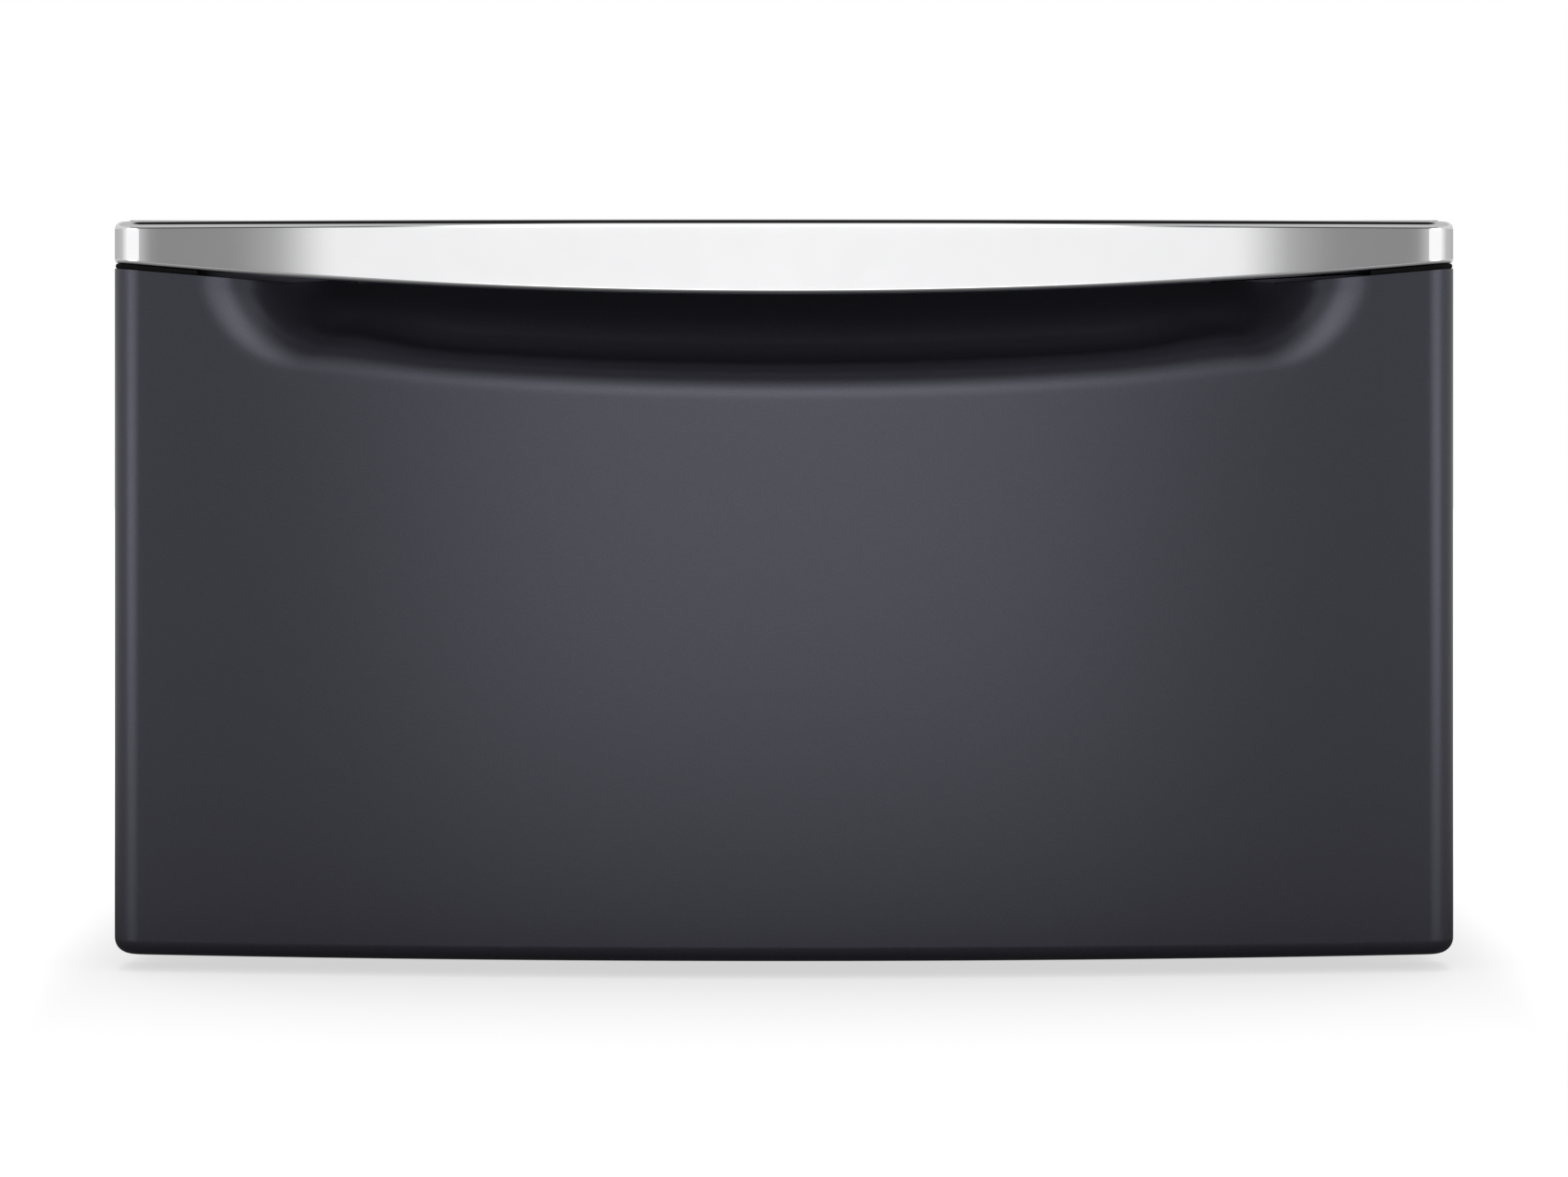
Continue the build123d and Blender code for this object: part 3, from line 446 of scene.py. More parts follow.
@dataclass(frozen=True)
class Finish:
    """What every finish has: its slot, its colour and roughness, how far these vary, and its relief."""

    slot: Slot
    colour: Colour
    roughness: float
    tone_places: Span = Span(0.25, 0.75)
    tone_span: Span = Span(0.9, 1.1)
    gloss_span: Span = Span(0.0, 0.08)
    relief: Relief = Relief(0.05, 0.0001)

    @property
    def name(self) -> str:
        """The name of the finish's material."""
        return f"{self.slot.value}_finish"

    def material(self) -> bpy.types.Material:
        """The finish as a material, made the first time it is asked for.

        Returns:
            The material.
        """
        made = bpy.data.materials.get(self.name)
        if made is None:
            shader = Shader(self.name)
            self.compose(shader)
            made = shader.material
        return made

    def compose(self, shader: Shader) -> None:
        """Lay out the finish's nodes."""
        raise NotImplementedError

    def tone(self, shader: Shader, source: Socket) -> Socket:
        """The finish's colour, from a darker tone to a paler one.

        Args:
            shader: The finish's material.
            source: The value that picks the tone.

        Returns:
            The colour.
        """
        return shader.ramp(source, (
            (self.tone_places.low, shade(self.colour, self.tone_span.low)),
            (self.tone_places.high, shade(self.colour, self.tone_span.high)),
        ))

    def gloss(self, shader: Shader, source: Socket) -> Socket:
        """The finish's roughness, varied over its span.

        Args:
            shader: The finish's material.
            source: The value that varies it.

        Returns:
            The roughness.
        """
        low = self.roughness + self.gloss_span.low
        return shader.spread(source, low, self.roughness + self.gloss_span.high)

    def dress(self, piece: bpy.types.Object) -> None:
        """Give a piece this finish in place of whatever it has."""
        piece.data.materials.clear()
        piece.data.materials.append(self.material())


@dataclass(frozen=True)
class MetallicPaint(Finish):
    """Charcoal paint with a fine metal flake and a faint orange peel."""

    gloss_span: Span = Span(-0.05, 0.05)
    relief: Relief = Relief(0.04, 0.0001)
    metal: float = 0.6
    flake: float = 3600.0
    flake_spread: float = 0.10
    flake_middle: float = 0.7
    flake_tilt: float = 0.3
    peel: float = 520.0
    peel_detail: float = 3.0

    def compose(self, shader: Shader) -> None:
        """Lay out the flake, the gloss and the peel.

        Args:
            shader: The finish's material.
        """
        position = shader.place()
        grain, tilt, _ = shader.cells(position, self.flake)
        peel = shader.noise(position, self.peel, self.peel_detail)
        tone = shader.ramp(grain, (
            (0.0, shade(self.colour, 1.0 - self.flake_spread)),
            (self.flake_middle, self.colour),
            (1.0, shade(self.colour, 1.0 + 2.0 * self.flake_spread)),
        ))
        shader.surface(
            Base_Color=tone,
            Metallic=self.metal,
            Roughness=self.gloss(shader, shader.blend(peel, tilt, self.flake_tilt)),
            Normal=shader.bump(peel, self.relief),
        )


@dataclass(frozen=True)
class SatinPaint(Finish):
    """Plain charcoal cabinet paint with a light orange peel."""

    tone_places: Span = Span(0.3, 0.7)
    tone_span: Span = Span(0.94, 1.06)
    gloss_span: Span = Span(-0.06, 0.06)
    relief: Relief = Relief(0.16, 0.00012)
    peel: float = 420.0
    cloud: float = 9.0
    cloud_detail: float = 3.0

    def compose(self, shader: Shader) -> None:
        """Lay out the tone, the gloss and the peel.

        Args:
            shader: The finish's material.
        """
        position = shader.place()
        peel = shader.noise(position, self.peel)
        cloud = shader.noise(position, self.cloud, self.cloud_detail)
        shader.surface(
            Base_Color=self.tone(shader, cloud),
            Roughness=self.gloss(shader, peel),
            Normal=shader.bump(peel, self.relief),
        )


@dataclass(frozen=True)
class Chrome(Finish):
    """Bright plating with a faint polishing haze."""

    tone_places: Span = Span(0.3, 0.7)
    tone_span: Span = Span(0.985, 1.0)
    gloss_span: Span = Span(0.0, 0.03)
    haze: float = 60.0
    haze_detail: float = 4.0

    def compose(self, shader: Shader) -> None:
        """Lay out the haze on a mirror.

        Args:
            shader: The finish's material.
        """
        haze = shader.noise(shader.place(), self.haze, self.haze_detail)
        shader.surface(
            Base_Color=self.tone(shader, haze),
            Metallic=1.0,
            Roughness=self.gloss(shader, haze),
        )


@dataclass(frozen=True)
class Galvanised(Finish):
    """Zinc coated sheet with a crystal spangle."""

    tone_places: Span = Span(0.1, 0.9)
    tone_span: Span = Span(0.86, 1.12)
    gloss_span: Span = Span(-0.07, 0.09)
    relief: Relief = Relief(0.08, 0.0001)
    spangle: float = 110.0
    dust: float = 300.0
    dust_detail: float = 3.0
    dust_share: float = 0.35

    def compose(self, shader: Shader) -> None:
        """Lay out the crystals, each with its own tone and gloss.

        Args:
            shader: The finish's material.
        """
        position = shader.place()
        crystal, gloss, _ = shader.cells(position, self.spangle)
        dust = shader.noise(position, self.dust, self.dust_detail)
        shader.surface(
            Base_Color=self.tone(shader, shader.blend(crystal, dust, self.dust_share)),
            Metallic=1.0,
            Roughness=self.gloss(shader, gloss),
            Normal=shader.bump(dust, self.relief),
        )


@dataclass(frozen=True)
class DrawnSteel(Finish):
    """Plated strip with lines along its length."""

    tone_span: Span = Span(0.88, 1.08)
    gloss_span: Span = Span(-0.06, 0.1)
    relief: Relief = Relief(0.12, 0.00008)
    lines: float = 900.0
    line_detail: float = 3.0
    stretch: Point = (1.0, 0.012, 1.0)

    def compose(self, shader: Shader) -> None:
        """Lay out the lengthwise lines.

        Args:
            shader: The finish's material.
        """
        line = shader.noise(shader.place(self.stretch), self.lines, self.line_detail)
        shader.surface(
            Base_Color=self.tone(shader, line),
            Metallic=1.0,
            Roughness=self.gloss(shader, line),
            Normal=shader.bump(line, self.relief),
        )


@dataclass(frozen=True)
class Plated(Finish):
    """Small steel parts with a plated or polished skin."""

    mottle: float = 450.0
    mottle_detail: float = 4.0

    def compose(self, shader: Shader) -> None:
        """Lay out the mottled plating.

        Args:
            shader: The finish's material.
        """
        mottle = shader.noise(shader.place(), self.mottle, self.mottle_detail)
        shader.surface(
            Base_Color=self.tone(shader, mottle),
            Metallic=1.0,
            Roughness=self.gloss(shader, mottle),
            Normal=shader.bump(mottle, self.relief),
        )


@dataclass(frozen=True)
class Moulded(Finish):
    """Moulded plastic or rubber with a grained, slightly dusty skin."""

    tone_places: Span = Span(0.35, 0.75)
    tone_span: Span = Span(1.0, 1.25)
    gloss_span: Span = Span(-0.08, 0.08)
    relief: Relief = Relief(0.25, 0.0002)
    grain: float = 900.0
    dust: float = 70.0
    dust_detail: float = 5.0

    def compose(self, shader: Shader) -> None:
        """Lay out the grain and the dust.

        Args:
            shader: The finish's material.
        """
        position = shader.place()
        grain = shader.noise(position, self.grain)
        dust = shader.noise(position, self.dust, self.dust_detail)
        shader.surface(
            Base_Color=self.tone(shader, dust),
            Roughness=self.gloss(shader, grain),
            Normal=shader.bump(grain, self.relief),
        )


@dataclass(frozen=True)
class ShadowGapFoam(Finish):
    """Black foam full of pores, with hardly any gloss, near black as painted shade in the gap it fills."""

    tone_places: Span = Span(0.0, 1.0)
    tone_span: Span = Span(0.6, 1.0)
    relief: Relief = Relief(0.3, 0.0002)
    specular: float = 0.1
    pores: float = 2600.0

    @property
    def name(self) -> str:
        """The name of the foam's material."""
        return "shadow_gap_foam_finish"

    def compose(self, shader: Shader) -> None:
        """Lay out the pores.

        Args:
            shader: The finish's material.
        """
        pore, _, _ = shader.cells(shader.place(), self.pores)
        shader.surface(
            Base_Color=self.tone(shader, pore),
            Roughness=self.roughness,
            Specular_IOR_Level=self.specular,
            Normal=shader.bump(pore, self.relief),
        )


# Painted shade: the foam's near black makes the gap under the handle's ends read as a black shadow gap.
SHADOW_GAP_FOAM = ShadowGapFoam(Slot.FOOT_RUBBER, grey(0.008), 0.9)
POLISHED_BALLS = Plated(
    Slot.BALL_STEEL, grey(0.70), 0.06, tone_span=Span(0.97, 1.03), gloss_span=Span(0.0, 0.04), mottle=900.0,
)
FINISHES: dict[Slot, Finish] = {
    finish.slot: finish
    for finish in (
        MetallicPaint(Slot.FRONT_PAINT, (0.060, 0.060, 0.078, 1.0), 0.31),
        SatinPaint(Slot.CABINET_PAINT, (0.070, 0.070, 0.085, 1.0), 0.42),
        Chrome(Slot.BRIGHT_CHROME, (0.86, 0.86, 0.87, 1.0), 0.035),
        Galvanised(Slot.GALVANISED_SHEET, (0.56, 0.57, 0.58, 1.0), 0.38),
        DrawnSteel(Slot.SLIDE_STEEL, grey(0.60), 0.26),
        Moulded(Slot.CAGE_PLASTIC, grey(0.08), 0.5),
        POLISHED_BALLS,
        Plated(Slot.ZINC_FASTENER, (0.58, 0.58, 0.56, 1.0), 0.28),
        Moulded(Slot.FOOT_RUBBER, grey(0.025), 0.72, tone_span=Span(1.0, 1.8), grain=700.0),
    )
}


class MeshDraft:
    """A mesh in the making. Points that fall together become one when it is finished."""

    def __init__(self, name: str) -> None:
        """Start an empty mesh.

        Args:
            name: The piece's name.
        """
        self.name = name
        self.mesh = bmesh.new()

    def face(self, points: Iterable[Point]) -> None:
        """One face through points in order."""
        self.mesh.faces.new([self.mesh.verts.new(point) for point in points])

    def grid(self, rows: Sequence[Sequence[Point]], closed: bool = False) -> None:
        """Four-sided faces between rows of points.

        Args:
            rows: Rows with the same number of points.
            closed: Whether each row's last point joins its first.
        """
        made = [[self.mesh.verts.new(point) for point in row] for row in rows]
        count = len(rows[0])
        for lower, upper in zip(made, made[1:]):
            for i in range(count if closed else count - 1):
                j = (i + 1) % count
                self.mesh.faces.new((lower[i], lower[j], upper[j], upper[i]))

    def finish(self, crease_degrees: float) -> bpy.types.Object:
        """Close the mesh and put it in the scene.

        Args:
            crease_degrees: Edges that turn by more than this stay sharp.

        Returns:
            The new piece.
        """
        bmesh.ops.remove_doubles(self.mesh, verts=self.mesh.verts[:], dist=WELD)
        bmesh.ops.dissolve_degenerate(self.mesh, dist=SLIVER, edges=self.mesh.edges[:])
        bmesh.ops.recalc_face_normals(self.mesh, faces=self.mesh.faces[:])
        open_edges = sum(not edge.is_manifold for edge in self.mesh.edges)
        if open_edges:
            log.warning("%s has %d open edges", self.name, open_edges)
        data = bpy.data.meshes.new(self.name)
        self.mesh.to_mesh(data)
        self.mesh.free()
        data.polygons.foreach_set("use_smooth", [True] * len(data.polygons))
        data.set_sharp_from_angle(angle=math.radians(crease_degrees))
        piece = bpy.data.objects.new(self.name, data)
        bpy.context.scene.collection.objects.link(piece)
        smoothing = piece.modifiers.new("even_shading", "WEIGHTED_NORMAL")
        smoothing.keep_sharp = True
        return piece


@dataclass(frozen=True)
class Station:
    """A place on a plan outline: its point and the outward direction there."""

    x: float
    y: float
    out_x: float
    out_y: float

    def inset(self, depth: float, z: float) -> Point:
        """The point moved in from the outline by a depth, at height z."""
        return self.x - depth * self.out_x, self.y - depth * self.out_y, z


@dataclass(frozen=True)
class BowedPlan:
    """The bowed outline in plan that the drawer front and the handle share."""

    half: float = 0.343
    crown_y: float = -0.343
    bow: float = 0.032
    corner: float = 0.018

    @property
    def radius(self) -> float:
        """The bow's radius."""
        return (self.half**2 + self.bow**2) / (2 * self.bow)

    @property
    def corner_x(self) -> float:
        """The distance of a corner's centre from the middle plane."""
        return self.half - self.corner

    @property
    def corner_y(self) -> float:
        """The Y of a corner's centre, where the flat side begins."""
        return self.y(self.corner_x, self.corner)

    @property
    def corner_angle(self) -> float:
        """The direction in which the bow runs into a corner, from straight ahead."""
        return math.asin(self.corner_x / (self.radius - self.corner))

    @property
    def edge_x(self) -> float:
        """The X at which the bow runs into a corner."""
        return self.radius * math.sin(self.corner_angle)

    def y(self, x: float, inset: float = 0.0) -> float:
        """The Y of the bowed face at x, moved in by inset."""
        return self.crown_y + self.radius - math.sqrt((self.radius - inset) ** 2 - x**2)

    def on_bow(self, x: float) -> Station:
        """The place on the bow at x."""
        out_x = x / self.radius
        return Station(x, self.y(x), out_x, -math.sqrt(1 - out_x**2))

    def on_corner(self, hand: Hand, share: float) -> Station:
        """A place round a corner.

        Args:
            hand: The corner's side.
            share: How far round the corner the place is, from the bow to the side.

        Returns:
            The place.
        """
        angle = lerp(self.corner_angle, math.pi / 2, share)
        out_x = hand.value * math.sin(angle)
        out_y = -math.cos(angle)
        x = hand.value * self.corner_x + self.corner * out_x
        return Station(x, self.corner_y + self.corner * out_y, out_x, out_y)

    def on_side(self, hand: Hand, y: float) -> Station:
        """The place on a flat side at y."""
        return Station(hand.value * self.half, y, float(hand.value), 0.0)

    def wing(self, hand: Hand, corner_steps: int, side_ys: Sequence[float]) -> list[Station]:
        """One corner and its side.

        Args:
            hand: The side.
            corner_steps: Steps round the corner.
            side_ys: Places along the flat side, from front to back.

        Returns:
            The places from the bow's edge to the back.
        """
        corner = [self.on_corner(hand, share) for share in shares(corner_steps)]
        return corner + [self.on_side(hand, y) for y in side_ys]

    def tour(self, bow_xs: Sequence[float], corner_steps: int, side_ys: Sequence[float]) -> list[Station]:
        """The whole outline from the left side's back, round the front, to the right side's back.

        Args:
            bow_xs: Places across the bow, its two edges included.
            corner_steps: Steps round each corner.
            side_ys: Places along the flat sides, from front to back.

        Returns:
            The places in order.
        """
        left = self.wing(Hand.LEFT, corner_steps, side_ys)
        right = self.wing(Hand.RIGHT, corner_steps, side_ys)
        middle = [self.on_bow(x) for x in bow_xs[1:-1]]
        return left[::-1] + middle + right


@dataclass(frozen=True)
class VisorArc:
    """The curve of the handle's lower edge in a front view."""

    half: float = 0.343
    end_z: float = 0.361
    middle_z: float = 0.3445

    def z(self, x: float, drop: float = 0.0) -> float:
        """The height of the curve.

        Args:
            x: Where the height is asked for.
            drop: How far it is lowered.

        Returns:
            The height.
        """
        rise = self.end_z - self.middle_z
        radius = (self.half**2 + rise**2) / (2 * rise)
        return self.middle_z - drop + radius - math.sqrt(radius**2 - x**2)


@dataclass(frozen=True)
class Trace:
    """A place on the finger pocket's outline in a front view, and the direction into the panel there."""

    x: float
    z: float
    out_x: float
    out_z: float

    def shift(self, distance: float) -> tuple[float, float]:
        """The X and Z moved into the panel by a distance."""
        return self.x + distance * self.out_x, self.z + distance * self.out_z


@dataclass
class FingerPocket:
    """The soft edged scoop under the handle."""

    half: float = 0.277
    floor_z: float = 0.3105
    floor_radius: float = 2.330
    corner: float = 0.037
    back_y: float = -0.283
    back_round: float = 0.018
    lean_degrees: float = 25.0
    lean_top_z: float = 0.35125
    lip: float = 0.01978
    back_round_share: float = 0.96
    end_slant_degrees: float = 49.0
    end_lip: float = 0.040
    end_round: float = 0.045
    end_onset: float = 1.5
    spine_straight: float = 0.160
    spine_half: float = 0.215
    spine_z: float = 0.356
    corner_steps: int = 26
    floor_steps: int = 70
    wall_places: Sequence[float] = (0.34, 0.67)
    seat_tries: int = 6

    def spine_x(self, x: float) -> float:
        """The X on the pocket's level middle line that its section at x runs towards.

        Args:
            x: The X at which the section starts.

        Returns:
            The same X along the straight run, and beyond it one that nears the middle line's end.
        """
        beyond = max(0.0, abs(x) - self.spine_straight)
        room = self.spine_half - self.spine_straight
        reach = min(abs(x), self.spine_straight) + room * (1.0 - math.exp(-beyond / room))
        return math.copysign(reach, x)

    @property
    def lean_rise(self) -> float:
        """How far the leaning back comes forward for each step down."""
        return math.tan(math.radians(self.lean_degrees))

    @property
    def corner_x(self) -> float:
        """The distance of a corner's centre from the middle plane."""
        return self.half - self.corner

    @property
    def corner_z(self) -> float:
        """The height of a corner's centre."""
        reach = self.floor_radius - self.corner
        return self.floor_z + self.floor_radius - math.sqrt(reach**2 - self.corner_x**2)

    def seat_angle(self, arc: VisorArc, drop: float) -> float:
        """The direction below level at which a corner meets the handle's seat.

        Args:
            arc: The handle's lower edge.
            drop: How far the seat lies below it.

        Returns:
            The angle in radians.
        """
        angle = 0.0
        for _ in range(self.seat_tries):
            x = self.corner_x + self.corner * math.cos(angle)
            angle = math.asin((self.corner_z - arc.z(x, drop)) / self.corner)
        return angle

    def outline(self, arc: VisorArc, drop: float) -> list[Trace]:
        """The outline from the seat on the left, round below, to the seat on the right.

        Args:
            arc: The handle's lower edge.
            drop: How far the seat lies below it.

        Returns:
            The places in order.
        """
        start = self.seat_angle(arc, drop)
        turn = math.asin(self.corner_x / (self.floor_radius - self.corner))
        left = []
        for share in shares(self.corner_steps):
            angle = lerp(start, math.pi / 2 - turn, share)
            out_x, out_z = -math.cos(angle), -math.sin(angle)
            x = self.corner * out_x - self.corner_x
            left.append(Trace(x, self.corner_z + self.corner * out_z, out_x, out_z))
        floor = []
        for share in shares(self.floor_steps)[1:-1]:
            angle = lerp(-turn, turn, share)
            out_x, out_z = math.sin(angle), -math.cos(angle)
            z = self.floor_z + self.floor_radius * (1 + out_z)
            floor.append(Trace(self.floor_radius * out_x, z, out_x, out_z))
        right = [Trace(-t.x, t.z, -t.out_x, t.out_z) for t in reversed(left)]
        return left + floor + right


@dataclass
class DrawerFront:
    """The bowed charcoal front of the drawer, with the handle's seat and the finger pocket."""

    plan: BowedPlan = field(default_factory=BowedPlan)
    arc: VisorArc = field(default_factory=VisorArc)
    pocket: FingerPocket = field(default_factory=FingerPocket)
    seat_drop: float = 0.0025
    back_y: float = -0.267
    rise_top_z: float = 0.3815
    bottom_z: float = 0.008
    lower_round: float = 0.008
    corner_steps: int = 14
    round_steps: int = 8
    lip_steps: int = 14
    face_steps: int = 22
    face_crowding: float = 1.35
    edge_share: float = 0.72
    crease_degrees: float = 35.0

    @property
    def face_low_z(self) -> float:
        """The height at which the upright face ends and the lower round begins."""
        return self.bottom_z + self.lower_round

    @property
    def edge_index(self) -> int:
        """The place on the pocket's outline that faces the lower corner of the bowed face."""
        return round(self.pocket.corner_steps * self.edge_share)

    def seat_z(self, x: float) -> float:
        """The height of the handle's seat at x."""
        return self.arc.z(x, self.seat_drop)

    def face_z(self, x: float, i: int) -> float:
        """The height of row i of the upright edges at x, from the seat down to the lower round."""
        return lerp(self.seat_z(x), self.face_low_z, i / self.edge_index)

    def rim(self, count: int) -> list[tuple[float, float]]:
        """The edge of the bowed face, one place for each place on the pocket's outline.

        Args:
            count: Places on the pocket's outline.

        Returns:
            X and Z of each place: down the left edge, along the bottom and up the right edge.
        """
        edge, last = self.plan.edge_x, self.edge_index
        places = []
        for i in range(count):
            mirrored = count - 1 - i
            if i <= last:
                places.append((-edge, self.face_z(edge, i)))
            elif mirrored <= last:
                places.append((edge, self.face_z(edge, mirrored)))
            else:
                places.append((lerp(-edge, edge, (i - last) / (count - 1 - 2 * last)), self.face_low_z))
        return places

    def pocket_row(self, trace: Trace) -> list[Point]:
        """The section of the pocket and its lip at one place of its outline.

        The lip bends in from the bowed face, a wall goes on to the pocket's back, and a round joins the
        two. At the pocket's ends the lip and the round are wider and the wall slants, so that the end runs
        out softly.

        Args:
            trace: The place.

        Returns:
            Points from the pocket's back to the bowed face.
        """
        pocket, plan = self.pocket, self.plan
        lip_x, lip_z = trace.shift(pocket.lip)
        lean = lip_x / (plan.radius - pocket.lip)
        ahead = Vector((lean, -math.sqrt(1 - lean**2), 0.0))
        brink = Vector((lip_x, plan.y(lip_x, pocket.lip), lip_z)) + pocket.lip * ahead
        inward = Vector((pocket.spine_x(brink.x) - brink.x, 0.0, pocket.spine_z - brink.z)).normalized()
        across = (ahead - ahead.project(inward)).normalized()

        softness = abs(inward.x) ** pocket.end_onset
        slant = math.radians(pocket.end_slant_degrees) * softness
        lip = lerp(pocket.lip, pocket.end_lip, softness)
        centre = brink - lip * ahead
        lip_points = []
        for share in shares(self.lip_steps):
            angle = lerp(slant, inward.angle(ahead), share)
            lip_points.append(centre + lip * (math.cos(angle) * inward + math.sin(angle) * across))

        wall_start = lip_points[0]
        wall = math.sin(slant) * inward - math.cos(slant) * across
        facing = Vector((0.0, 1.0, -pocket.lean_rise))
        behind = pocket.back_y - pocket.lean_rise * pocket.lean_top_z
        length = (behind - facing.dot(wall_start)) / facing.dot(wall)
        along_back = (inward - across * (facing.dot(inward) / facing.dot(across))).normalized()
        bend = wall.angle(along_back)
        back_round = lerp(pocket.back_round, pocket.end_round, softness)
        reach = min(back_round * math.tan(bend / 2), pocket.back_round_share * length)
        radius = reach / math.tan(bend / 2)
        wall_end = wall_start + (length - reach) * wall
        into = (along_back - along_back.project(wall)).normalized()
        hub = wall_end + radius * into

        points = []
        for share in shares(self.round_steps):
            angle = bend * (1 - share)
            points.append(hub + radius * (math.sin(angle) * wall - math.cos(angle) * into))
        points += [wall_end.lerp(wall_start, share) for share in pocket.wall_places]
        return [(p.x, min(p.y, pocket.back_y), p.z) for p in points + lip_points]

    def face_row(self, start: Point, rim: tuple[float, float]) -> list[Point]:
        """The bowed face from the pocket's lip to the rim.

        Args:
            start: The lip's last point.
            rim: X and Z of the face's edge.

        Returns:
            Points beyond the start, rim included.
        """
        row = []
        for share in shares(self.face_steps)[1:]:
            eased = share**self.face_crowding
            x = lerp(start[0], rim[0], eased)
            row.append((x, self.plan.y(x), lerp(start[2], rim[1], eased)))
        return row

    def seated(self, row: Sequence[Point]) -> list[Point]:
        """A row with every point on the handle's seat."""
        return [(x, y, self.seat_z(x)) for x, y, _ in row]

    def round_section(self, station: Station) -> list[Point]:
        """The lower round at one place of the plan.

        Args:
            station: The place.

        Returns:
            Points from the upright face to the underside.
        """
        section = []
        for share in shares(self.round_steps):
            angle = share * math.pi / 2
            inset = self.lower_round * (1 - math.cos(angle))
            section.append(station.inset(inset, self.face_low_z - self.lower_round * math.sin(angle)))
        return section

    def build(self) -> bpy.types.Object:
        """Model the front, dress it and hang it on the drawer.

        Returns:
            The front.
        """
        draft = MeshDraft("drawer_front_panel")
        traces = self.pocket.outline(self.arc, self.seat_drop)
        rim = self.rim(len(traces))
        rows = []
        for trace, edge in zip(traces, rim):
            row = self.pocket_row(trace)
            rows.append(row + self.face_row(row[-1], edge))
        rows[0] = self.seated(rows[0])
        rows[-1] = self.seated(rows[-1])
        bend = min(range(1, len(rows) // 2), key=lambda i: abs(rows[i][0][2] - self.pocket.lean_top_z))
        for row in (rows[bend], rows[-1 - bend]):
            row[0] = (row[0][0], self.pocket.back_y, self.pocket.lean_top_z)
        draft.grid(rows)
        hollow = [row[0] for row in rows]
        draft.face(hollow[bend:len(rows) - bend])

        last = self.edge_index
        side_ys = (self.pocket.back_y, self.back_y)
        back_outline = {}
        for hand, end_row in ((Hand.LEFT, rows[0]), (Hand.RIGHT, rows[-1])):
            wing = self.plan.wing(hand, self.corner_steps, side_ys)
            columns = [[s.inset(0.0, self.face_z(s.x, i)) for i in range(last + 1)] for s in wing]
            draft.grid(columns)
            seat_front, seat_back = columns[-2][0], columns[-1][0]
            top_front = (*seat_front[:2], self.rise_top_z)
            top_back = (*seat_back[:2], self.rise_top_z)
            draft.face((seat_front, seat_back, top_back, top_front))
            draft.face(end_row + [column[0] for column in columns[1:-1]])
            back_outline[hand] = [top_back, *columns[-1], *self.round_section(wing[-1])[1:]]

        bow_xs = [x for x, _ in rim[last:len(rim) - last]]
        tour = self.plan.tour(bow_xs, self.corner_steps, side_ys)
        sections = [self.round_section(station) for station in tour]
        draft.grid(sections)
        draft.face(section[-1] for section in sections)
        draft.face(back_outline[Hand.LEFT] + back_outline[Hand.RIGHT][::-1])

        left_x, right_x = -self.plan.half, self.plan.half
        seat_z, top_z = self.seat_z(right_x), self.rise_top_z
        front_y = self.pocket.back_y
        upper_left = (left_x, front_y, top_z)
        upper_right = (right_x, front_y, top_z)
        shoulder = [*hollow[:bend + 1], *hollow[-1 - bend:]]
        seat_left, seat_right = (left_x, front_y, seat_z), (right_x, front_y, seat_z)
        draft.face([upper_left, seat_left, *shoulder, seat_right, upper_right])
        draft.face((upper_left, upper_right, (right_x, self.back_y, top_z), (left_x, self.back_y, top_z)))

        panel = draft.finish(self.crease_degrees)
        FINISHES[Slot.FRONT_PAINT].dress(panel)
        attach(panel, "drawer")
        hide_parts("drawer_front")
        return panel


